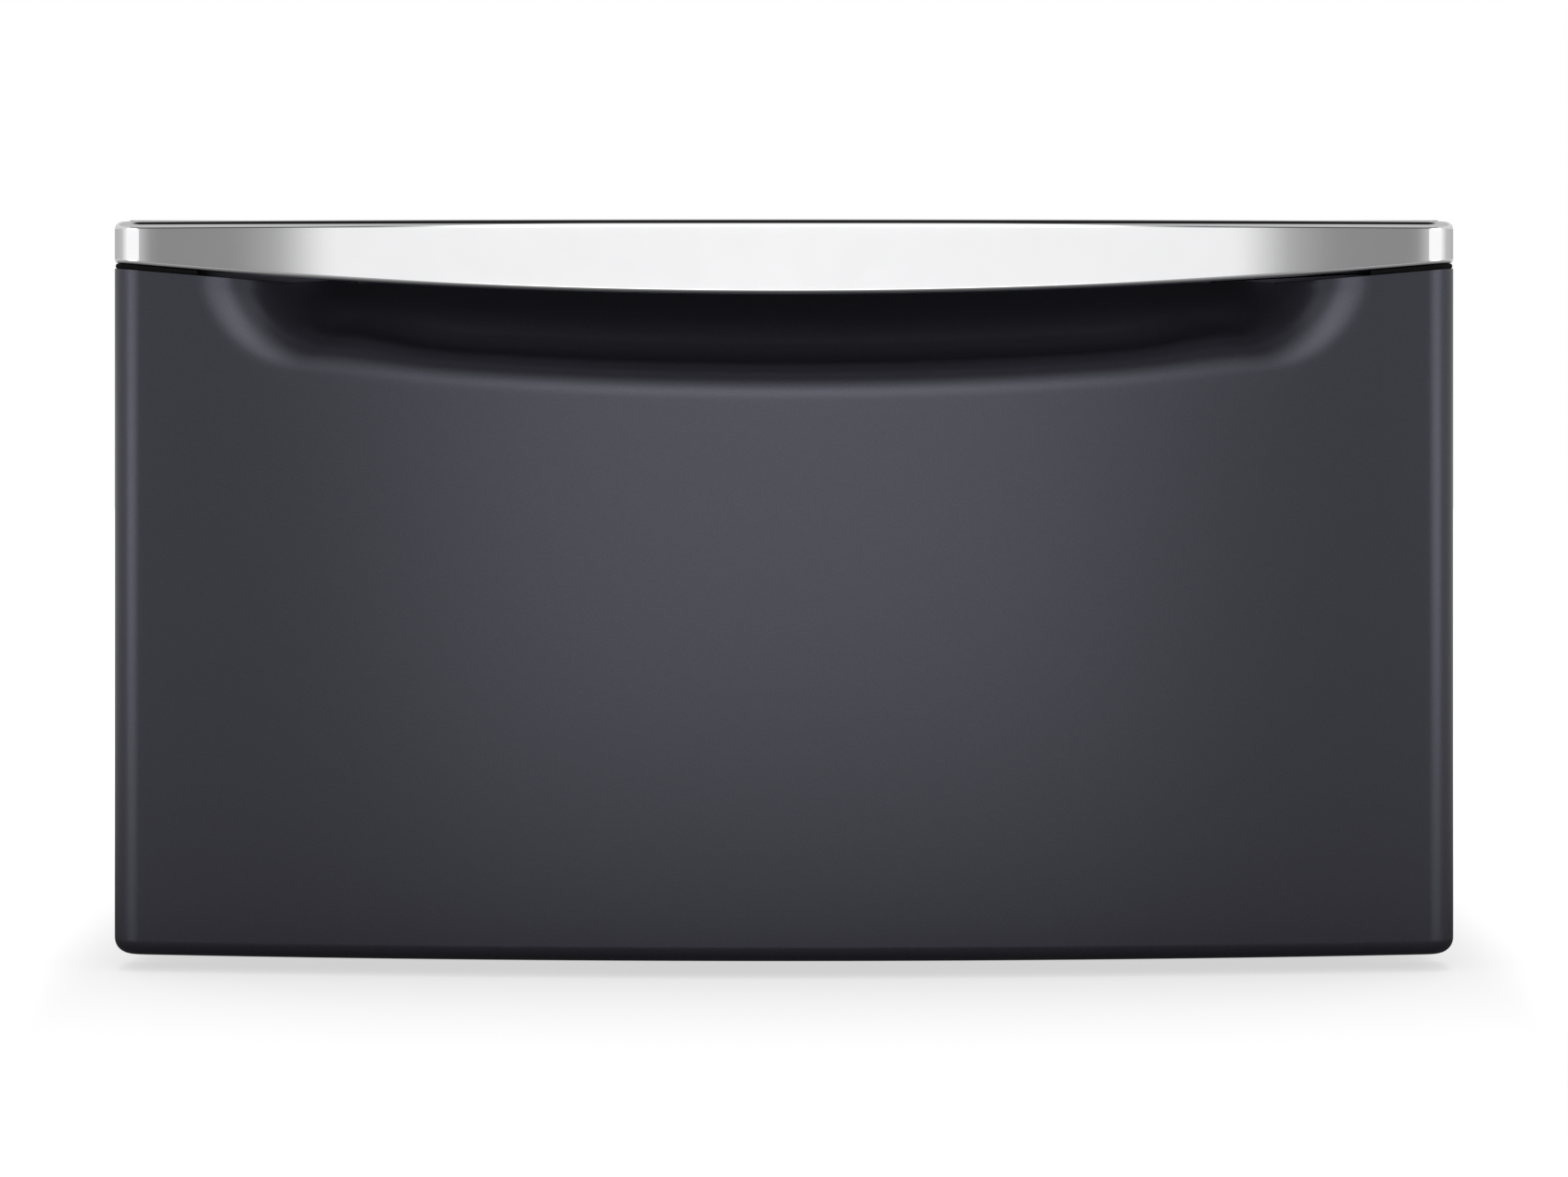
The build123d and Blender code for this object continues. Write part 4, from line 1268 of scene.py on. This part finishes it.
@dataclass
class VisorHandle:
    """The bright visor handle along the top of the drawer front, a shell open below and behind."""

    plan: BowedPlan = field(default_factory=BowedPlan)
    arc: VisorArc = field(default_factory=VisorArc)
    top_z: float = 0.3825
    back_y: float = -0.283
    wall: float = 0.003
    rib: float = 0.012
    top_round: float = 0.004
    lower_round: float = 0.0024
    bow_steps: int = 110
    corner_steps: int = 16
    round_steps: int = 9
    face_rows: int = 6
    inner_rows: int = 3
    crease_degrees: float = 35.0

    def outer_section(self, station: Station) -> list[Point]:
        """The skin at one place of the plan.

        Args:
            station: The place.

        Returns:
            Points from the inside of the lower edge, round outside, to the top.
        """
        low = self.arc.z(station.x)
        section = [station.inset(self.wall, low)]
        for share in shares(self.round_steps):
            angle = share * math.pi / 2
            inset = self.lower_round * (1 - math.sin(angle))
            section.append(station.inset(inset, low + self.lower_round * (1 - math.cos(angle))))
        face_low, face_high = low + self.lower_round, self.top_z - self.top_round
        for share in shares(self.face_rows)[1:-1]:
            section.append(station.inset(0.0, lerp(face_low, face_high, share)))
        for share in shares(self.round_steps):
            angle = share * math.pi / 2
            inset = self.top_round * (1 - math.cos(angle))
            section.append(station.inset(inset, face_high + self.top_round * math.sin(angle)))
        return section

    def inner_section(self, station: Station, low: float, high: float) -> list[Point]:
        """The inside of the skin between two heights at one place of the plan."""
        return [station.inset(self.wall, lerp(low, high, share)) for share in shares(self.inner_rows)]

    def build(self) -> bpy.types.Object:
        """Model the handle, dress it and hang it on the drawer.

        Returns:
            The handle.
        """
        draft = MeshDraft("drawer_visor_handle")
        edge = self.plan.edge_x
        bow_xs = [lerp(-edge, edge, share) for share in shares(self.bow_steps)]
        rib_y = self.back_y - self.wall
        tour = self.plan.tour(bow_xs, self.corner_steps, (rib_y, self.back_y))
        ahead = tour[1:-1]
        rib_z, ceiling_z = self.top_z - self.rib, self.top_z - self.wall

        outside = [self.outer_section(station) for station in tour]
        draft.grid(outside)
        draft.face(section[-1] for section in outside)
        inside = [self.inner_section(station, self.arc.z(station.x), rib_z) for station in tour]
        draft.grid(inside)
        upper = [self.inner_section(station, rib_z, ceiling_z) for station in ahead]
        draft.grid(upper)
        draft.face(section[-1] for section in upper)

        draft.face(upper[0] + upper[-1][::-1])
        draft.face((inside[0][-1], inside[1][-1], inside[-2][-1], inside[-1][-1]))
        draft.face(outside[0] + outside[-1][::-1] + inside[-1][1:] + inside[0][:0:-1])

        handle = draft.finish(self.crease_degrees)
        FINISHES[Slot.BRIGHT_CHROME].dress(handle)
        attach(handle, "drawer")
        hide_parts("drawer_handle")
        return handle


@dataclass
class HandleShadowGapGasket:
    """A black foam strip that fills the gap between one end of the handle and the drawer front, its near
    black painted shade that makes the gap read as a shadow gap.
    """

    hand: Hand
    plan: BowedPlan = field(default_factory=BowedPlan)
    arc: VisorArc = field(default_factory=VisorArc)
    seat_drop: float = 0.0025
    outer_inset: float = 0.0009
    inner_inset: float = 0.0030
    bulge: float = 0.0005
    start_x: float = 0.2985
    back_y: float = -0.2845
    bow_steps: int = 8
    corner_steps: int = 14
    face_rows: int = 4
    crease_degrees: float = 40.0

    def section(self, station: Station) -> list[Point]:
        """The strip's section at one place of the plan.

        Args:
            station: The place.

        Returns:
            Points round the section.
        """
        low, high = self.arc.z(station.x, self.seat_drop), self.arc.z(station.x)
        points = [station.inset(self.inner_inset, low)]
        for share in shares(self.face_rows):
            out = self.bulge * math.sin(math.pi * share)
            points.append(station.inset(self.outer_inset - out, lerp(low, high, share)))
        points.append(station.inset(self.inner_inset, high))
        return points

    def build(self) -> bpy.types.Object:
        """Model the strip, dress it and hang it on the drawer.

        Returns:
            The strip.
        """
        bow_xs = [lerp(self.start_x, self.plan.edge_x, share) for share in shares(self.bow_steps)]
        stations = [self.plan.on_bow(self.hand.value * x) for x in bow_xs[:-1]]
        stations += self.plan.wing(self.hand, self.corner_steps, (self.back_y,))
        sections = [self.section(station) for station in stations]
        draft = MeshDraft(f"handle_shadow_gap_gasket_{self.hand.word}")
        draft.grid(sections, closed=True)
        draft.face(sections[0])
        draft.face(sections[-1])
        gasket = draft.finish(self.crease_degrees)
        # Painted shade: the near-black foam stands in for the shadow in the gap.
        SHADOW_GAP_FOAM.dress(gasket)
        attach(gasket, "drawer")
        return gasket


@dataclass
class LevellingFoot:
    """One levelling foot: a swivelling rubber pad and a threaded stem with a hexagon to turn it."""

    corner: Corner
    tip_radius: float = 0.004
    stem_radius: float = 0.005
    root_radius: float = 0.0041
    hexagon: float = 0.014
    hexagon_low_z: float = 0.012
    hexagon_high_z: float = 0.0155
    pitch: float = 0.0015
    crest_steepness: float = 1.3
    crest_offset: float = 0.15
    chamfer: float = 0.001
    bevel: float = 0.0004
    around: int = 48
    rows_per_turn: int = 6
    crease_degrees: float = 40.0

    def ring(self, centre: Vector, z: float, radius: float) -> list[Point]:
        """A level circle of points."""
        turns = [2 * math.pi * i / self.around for i in range(self.around)]
        return [(centre.x + radius * math.cos(a), centre.y + radius * math.sin(a), z) for a in turns]

    def hexagon_ring(self, centre: Vector, z: float, inset: float = 0.0) -> list[Point]:
        """A level hexagon of points.

        Args:
            centre: The stem's axis.
            z: The hexagon's height.
            inset: How far its flats are moved in.

        Returns:
            Points round the hexagon.
        """
        points = []
        for i in range(self.around):
            angle = 2 * math.pi * i / self.around
            off_flat = (angle + math.pi / 6) % (math.pi / 3) - math.pi / 6
            corner_angle = math.pi / 6 - abs(off_flat)
            reach = (self.hexagon / 2 - inset) / math.cos(corner_angle)
            points.append((centre.x + reach * math.cos(angle), centre.y + reach * math.sin(angle), z))
        return points

    def thread_ring(self, centre: Vector, z: float, top_z: float) -> list[Point]:
        """A level ring through the thread.

        Args:
            centre: The stem's axis.
            z: The ring's height.
            top_z: The stem's top, where the thread is chamfered.

        Returns:
            Points on the thread.
        """
        limit = self.stem_radius - max(0.0, self.chamfer - (top_z - z))
        points = []
        for i in range(self.around):
            angle = 2 * math.pi * i / self.around
            phase = (z / self.pitch - i / self.around) % 1.0
            slope = self.crest_steepness * (1 - abs(2 * phase - 1)) - self.crest_offset
            crest = min(1.0, max(0.0, slope))
            radius = min(limit, lerp(self.root_radius, self.stem_radius, crest))
            points.append((centre.x + radius * math.cos(angle), centre.y + radius * math.sin(angle), z))
        return points

    def build(self) -> bpy.types.Object:
        """Model the stem, dress it and set it in its pad.

        Returns:
            The stem.
        """
        node = f"foot_stem_{self.corner.value}"
        low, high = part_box(node)
        centre = (low + high) / 2
        bevel = self.bevel
        rows = [
            self.ring(centre, low.z, self.tip_radius - bevel),
            self.ring(centre, low.z + bevel, self.tip_radius),
            self.ring(centre, self.hexagon_low_z, self.tip_radius),
            self.hexagon_ring(centre, self.hexagon_low_z, bevel),
            self.hexagon_ring(centre, self.hexagon_low_z + bevel),
            self.hexagon_ring(centre, self.hexagon_high_z - bevel),
            self.hexagon_ring(centre, self.hexagon_high_z, bevel),
            self.ring(centre, self.hexagon_high_z, self.root_radius),
        ]
        step = self.pitch / self.rows_per_turn
        count = int((high.z - self.hexagon_high_z) / step)
        for i in range(1, count):
            rows.append(self.thread_ring(centre, self.hexagon_high_z + i * step, high.z))
        rows.append(self.ring(centre, high.z, self.root_radius - bevel))
        draft = MeshDraft(f"threaded_stem_{self.corner.value}")
        draft.grid(rows, closed=True)
        draft.face(rows[0])
        draft.face(rows[-1])
        stem = draft.finish(self.crease_degrees)
        FINISHES[Slot.ZINC_FASTENER].dress(stem)
        FINISHES[Slot.FOOT_RUBBER].dress(frame["nodes"][f"foot_pad_{self.corner.value}"])
        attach(stem, node)
        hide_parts(node)
        return stem


@dataclass
class SolidGroup:
    """Solids of one sub-assembly that keep their shape and take their slot's finish."""

    title: str
    nodes: Sequence[str]

    def dress(self) -> None:
        """Give each solid the finish of its slot in the record."""
        slots = {part["node"]: Slot(part["material_slot"]) for part in frame["record"]["subparts"]}
        for node in self.nodes:
            FINISHES[slots[node]].dress(frame["nodes"][node])
            log.info("dressed %s: %s", self.title, node)


def both_hands(*stems: str) -> list[str]:
    """Each name once for the left and once for the right."""
    return [f"{stem}_{hand.word}" for stem in stems for hand in Hand]


class Cabinet(SolidGroup):
    """The painted cabinet, its galvanised frame and its screws."""

    def __init__(self) -> None:
        """List the cabinet's solids."""
        super().__init__("cabinet", [
            "top_deck", "rear_panel", "front_cross_rail", "base_rail_front", "base_rail_rear",
            *both_hands("side_panel", "deck_brace", "slide_bracket"),
            "cross_rail_screws", "base_screws", "rear_panel_screws", "drawer_bumpers",
            "foot_weld_nuts", "foot_lock_nuts",
        ])


class DrawerBox(SolidGroup):
    """The galvanised drawer box behind the front."""

    def __init__(self) -> None:
        """List the drawer box's solids."""
        super().__init__("drawer box", [
            "drawer_inner_front", "drawer_floor", "drawer_back", *both_hands("drawer_side"),
            "drawer_front_screws", "drawer_box_screws", "handle_screws", "drawer_rivets",
        ])


class BallSlides(SolidGroup):
    """The telescopic ball slides on both sides of the drawer."""

    def __init__(self) -> None:
        """List the slides' solids."""
        super().__init__("ball slides", [
            *both_hands("slide_outer", "slide_middle", "slide_inner"),
            *both_hands("ball_cage_outer", "ball_cage_inner", "slide_balls_outer", "slide_balls_inner"),
            "slide_outer_screws", "slide_inner_screws",
        ])


@dataclass
class PhotoCamera:
    """The level camera of the picture, in front of the pedestal."""

    distance: float = 2.5
    crown_y: float = -0.343
    height: float = 0.300
    focal_pixels: float = 5360.0
    horizon_pixel: float = 413.0
    width_pixels: int = 1692
    height_pixels: int = 1270
    sensor: float = 36.0
    clip_end: float = 60.0

    def build(self) -> bpy.types.Object:
        """Set up the camera and make it the scene's own.

        Returns:
            The camera.
        """
        data = bpy.data.cameras.new("photo_camera")
        data.sensor_width = self.sensor
        data.lens = self.sensor * self.focal_pixels / self.width_pixels
        data.shift_y = (self.horizon_pixel - self.height_pixels / 2) / self.width_pixels
        data.clip_end = self.clip_end
        camera = bpy.data.objects.new("photo_camera", data)
        camera.location = (0.0, self.crown_y - self.distance, self.height)
        camera.rotation_euler = (math.pi / 2, 0.0, 0.0)
        bpy.context.scene.collection.objects.link(camera)
        bpy.context.scene.camera = camera
        return camera


class Visibility(Enum):
    """Which rays a studio card meets."""

    EVERY_RAY = "every_ray"
    REFLECTIONS = "reflections"


@dataclass(frozen=True)
class Step:
    """A soft step: the values at which it begins and ends, and the levels before and after it."""

    start: float
    end: float
    first: float = 1.0
    last: float = 0.0

    def level(self, shader: Shader, source: Socket) -> Socket:
        """The level at a value."""
        return shader.ease(source, self.start, self.end, self.first, self.last)


@dataclass(frozen=True)
class Peak:
    """A soft peak or dip: its middle, how far off it holds and ends, and the levels inside and outside."""

    middle: float
    core: float
    reach: float
    first: float = 1.0
    last: float = 0.0

    def level(self, shader: Shader, source: Socket) -> Socket:
        """The level at a value."""
        off = shader.maths("ABSOLUTE", shader.maths("SUBTRACT", source, self.middle), 0.0)
        return shader.ease(off, self.core, self.reach, self.first, self.last)


@dataclass(frozen=True)
class LightPatch:
    """A bright patch: how it fades with the turn from the front, and with the rise or the distance."""

    turn: Step | Peak
    along: Step | Peak

    def level(self, shader: Shader, turn: Socket, along: Socket) -> Socket:
        """How bright the patch is at a turn and a rise or distance."""
        return shader.maths("MULTIPLY", self.turn.level(shader, turn), self.along.level(shader, along))


@dataclass(frozen=True)
class SoftLamp:
    """A wide lamp: where it stands, the point it faces, its width and height, and its power in watts."""

    name: str
    place: Point
    aim: Point
    size: tuple[float, float]
    power: float

    def build(self) -> bpy.types.Object:
        """Set up the lamp.

        Returns:
            The lamp.
        """
        data = bpy.data.lights.new(self.name, "AREA")
        data.shape = "RECTANGLE"
        data.size, data.size_y = self.size
        data.energy = self.power
        lamp = bpy.data.objects.new(self.name, data)
        lamp.location = self.place
        lamp.rotation_euler = (Vector(self.aim) - Vector(self.place)).to_track_quat("-Z", "Y").to_euler()
        lamp.visible_glossy = False
        bpy.context.scene.collection.objects.link(lamp)
        return lamp


@dataclass(frozen=True)
class StudioCard:
    """A flat or folded sheet of the studio: its faces as points in order, and the rays it meets."""

    name: str
    faces: Sequence[Sequence[Point]]
    sight: Visibility

    def build(self, shader: Shader) -> bpy.types.Object:
        """Set up the card.

        Args:
            shader: Its material.

        Returns:
            The card.
        """
        points: list[Point] = []
        loops: list[list[int]] = []
        for face in self.faces:
            loops.append(list(range(len(points), len(points) + len(face))))
            points.extend(face)
        data = bpy.data.meshes.new(self.name)
        data.from_pydata(points, [], loops)
        data.materials.append(shader.material)
        card = bpy.data.objects.new(self.name, data)
        bpy.context.scene.collection.objects.link(card)
        if self.sight is Visibility.REFLECTIONS:
            card.visible_camera = False
            card.visible_diffuse = False
            card.visible_shadow = False
            card.visible_transmission = False
        return card


def level_square(half: float, z: float) -> list[Point]:
    """The corners of a level square round the Z axis."""
    return [(-half, -half, z), (half, -half, z), (half, half, z), (-half, half, z)]


@dataclass
class Studio:
    """The white studio: floor, reflection dome, floor sheet, lamps and world.

    The dome's patches fade with the turn and the rise in degrees, seen from the handle. The floor's fade
    with the turn in degrees and the distance in metres.
    """

    floor_half: float = 9.0
    floor_tone: float = 0.40
    floor_glow: Step = Step(0.8, 1.7, 0.63, 1.0)
    # Painted light: the floor's glow is lifted beside the pedestal, where the cabinet shades the floor.
    floor_painted_lift: Step = Step(0.345, 0.400, 0.0, 0.14)
    # The reflection sheet's tone by distance: darkest near and under the pedestal, as painted shade where
    # it shades the floor.
    sheet_z: float = 0.002
    sheet_shade_levels: Sequence[tuple[float, float]] = (
        (0.45, 0.05), (0.72, 0.20), (1.2, 0.36), (2.6, 0.55), (3.4, 0.70),
    )
    sheet_front: LightPatch = LightPatch(Step(11.0, 20.0), Step(1.2, 2.4, 0.0, 1.45))
    dome_place: Point = (0.0, -0.343, 0.36)
    dome_radius: float = 3.2
    dome_low_degrees: float = -6.3
    dome_rows: int = 40
    dome_columns: int = 144
    dome_base: Step = Step(18.0, 60.0, 0.03, 0.02)
    softbox: LightPatch = LightPatch(Step(14.0, 23.0, 1.7), Step(22.0, 70.0))
    upper_box: LightPatch = LightPatch(Step(13.0, 20.0), Peak(24.0, 8.0, 14.0, 0.7))
    side_boxes: LightPatch = LightPatch(Peak(58.5, 9.0, 20.0), Step(2.0, 12.0, 3.8))
    flanks: LightPatch = LightPatch(Step(58.0, 74.0, 0.0, 0.65), Step(12.0, 24.0))
    crown: LightPatch = LightPatch(Step(16.0, 26.0, 0.0, 1.0), Peak(35.0, 14.0, 24.0, 0.55))
    band: Peak = Peak(1.6, 1.6, 5.0)
    band_room: Peak = Peak(1.6, 1.6, 3.6, 0.0, 1.0)
    band_levels: Sequence[tuple[float, float]] = (
        (0.0, 1.05), (23.5, 1.0), (26.1, 0.45), (28.4, 0.30), (32.6, 0.28), (35.0, 0.75),
        (38.0, 1.1), (75.0, 1.1), (99.0, 0.58), (130.0, 0.5),
    )
    lamps: Sequence[SoftLamp] = (
        SoftLamp("overhead_lamp", (0.0, 0.35, 2.6), (0.0, 0.0, 0.0), (2.4, 1.8), 38.0),
        SoftLamp("front_lamp", (0.0, -3.4, 1.7), (0.0, -0.3, 0.2), (2.2, 1.4), 15.0),
    )
    ambient: float = 0.55

    def floor(self) -> bpy.types.Object:
        """The pale floor, white to the camera and to metal, that keeps the object's shadow, its glow lifted
        beside the pedestal as painted light over the cabinet's shade.

        Returns:
            The floor.
        """
        shader = Shader("studio_floor")
        position = shader.place()
        across, _, _ = shader.axes(position)
        around = self.floor_glow.level(shader, shader.distance(position))
        # Painted light: more glow beside the pedestal, over the cabinet's shade.
        painted_side_lift = self.floor_painted_lift.level(shader, shader.maths("ABSOLUTE", across, 0.0))
        level = shader.maths("MINIMUM", shader.maths("ADD", around, painted_side_lift), 1.0)
        matt = shader.add("ShaderNodeBsdfDiffuse")
        matt.inputs["Color"].default_value = grey(self.floor_tone)
        both = shader.add("ShaderNodeAddShader")
        shader.link(shader.glow(shader.maths("MULTIPLY", level, shader.seen())), both.inputs[0])
        shader.link(matt.outputs["BSDF"], both.inputs[1])
        shader.link(both.outputs["Shader"], shader.output.inputs["Surface"])
        faces = [level_square(self.floor_half, 0.0)]
        return StudioCard("studio_floor", faces, Visibility.EVERY_RAY).build(shader)

    def dome_light(self, shader: Shader) -> Socket:
        """How bright the dome is in each direction from the handle.

        Args:
            shader: The dome's material.

        Returns:
            Dim all round and dark overhead, with a narrow level band of its own tones, a softbox ahead, one
            above it, one at each side, pale flanks and a high ring that leaves the front free.
        """
        across, back, up = shader.axes(shader.direction(shader.place()))
        turn = shader.turn_from_front(across, back)
        rise = shader.maths("MULTIPLY", shader.maths("ARCSINE", up, 0.0), DEGREES)
        light = self.dome_base.level(shader, rise)
        for patch in (self.softbox, self.upper_box, self.side_boxes, self.flanks, self.crown):
            light = shader.maths("ADD", light, patch.level(shader, turn, rise))
        light = shader.maths("MULTIPLY", light, self.band_room.level(shader, rise))
        tones = shader.ramp(
            shader.maths("MULTIPLY", turn, 1.0 / HALF_TURN),
            [(angle / HALF_TURN, grey(tone)) for angle, tone in self.band_levels],
        )
        band = shader.maths("MULTIPLY", tones, self.band.level(shader, rise))
        return shader.maths("ADD", light, band)

    def dome(self) -> bpy.types.Object:
        """The dome that metal and paint reflect.

        Returns:
            The dome.
        """
        shader = Shader("studio_dome")
        shader.link(shader.glow(self.dome_light(shader)), shader.output.inputs["Surface"])
        low, high = math.radians(self.dome_low_degrees), math.pi / 2
        turns = [lerp(-math.pi, math.pi, share) for share in shares(self.dome_columns)]
        rings = []
        for share in shares(self.dome_rows):
            rise = lerp(low, high, share)
            reach = self.dome_radius * math.cos(rise)
            z = self.dome_radius * math.sin(rise)
            rings.append([(reach * math.sin(turn), -reach * math.cos(turn), z) for turn in turns])
        faces = []
        for lower, upper in zip(rings, rings[1:]):
            for i in range(self.dome_columns):
                faces.append([lower[i], lower[i + 1], upper[i + 1], upper[i]])
        dome = StudioCard("studio_dome", faces, Visibility.REFLECTIONS).build(shader)
        dome.location = self.dome_place
        return dome

    def floor_sheet(self) -> bpy.types.Object:
        """The sheet on the floor round the pedestal, which only reflections meet, dark near and under it as
        painted shade.

        Returns:
            The sheet.
        """
        shader = Shader("floor_shade_sheet")
        position = shader.place()
        across, back, _ = shader.axes(position)
        distance = shader.distance(position)
        reach = self.sheet_shade_levels[-1][0]
        # Painted shade: the sheet is darkest near the pedestal and under it.
        tone = shader.ramp(
            shader.maths("MULTIPLY", distance, 1.0 / reach),
            [(place / reach, grey(level)) for place, level in self.sheet_shade_levels],
        )
        front = self.sheet_front.level(shader, shader.turn_from_front(across, back), distance)
        shader.link(shader.glow(shader.maths("ADD", tone, front)), shader.output.inputs["Surface"])
        faces = [level_square(reach, self.sheet_z)]
        return StudioCard("floor_shade_sheet", faces, Visibility.REFLECTIONS).build(shader)

    def world(self) -> bpy.types.World:
        """White to the camera, to metal and to glass, and a plain grey light for the rest.

        Returns:
            The world.
        """
        world = bpy.data.worlds.new("studio_world")
        world.use_nodes = True
        graph = Graph(world.node_tree)
        light = graph.add("ShaderNodeBackground")
        light.inputs["Color"].default_value = WHITE
        light.inputs["Strength"].default_value = self.ambient
        white = graph.add("ShaderNodeBackground")
        white.inputs["Color"].default_value = WHITE
        mix = graph.add("ShaderNodeMixShader")
        graph.link(graph.seen(), mix.inputs["Fac"])
        graph.link(light.outputs["Background"], mix.inputs[1])
        graph.link(white.outputs["Background"], mix.inputs[2])
        output = graph.add("ShaderNodeOutputWorld")
        graph.link(mix.outputs["Shader"], output.inputs["Surface"])
        bpy.context.scene.world = world
        return world

    def build(self) -> None:
        """Set up the whole studio."""
        bpy.context.scene.view_settings.view_transform = "Standard"
        self.floor()
        self.dome()
        self.floor_sheet()
        for lamp in self.lamps:
            lamp.build()
        self.world()


def main() -> None:
    """Build and dress the pedestal, set up its studio and report each piece."""
    logging.basicConfig(level=logging.INFO, format="%(name)s: %(message)s")
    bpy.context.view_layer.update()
    PhotoCamera().build()
    assemblies = [
        DrawerFront(),
        VisorHandle(),
        *(HandleShadowGapGasket(hand) for hand in Hand),
        *(LevellingFoot(corner) for corner in Corner),
    ]
    for assembly in assemblies:
        piece = assembly.build()
        log.info("built %s, %d faces", piece.name, len(piece.data.polygons))
    for group in (Cabinet(), DrawerBox(), BallSlides()):
        group.dress()
    Studio().build()
    log.info("sizes written")


if __name__ == "__main__":
    main()
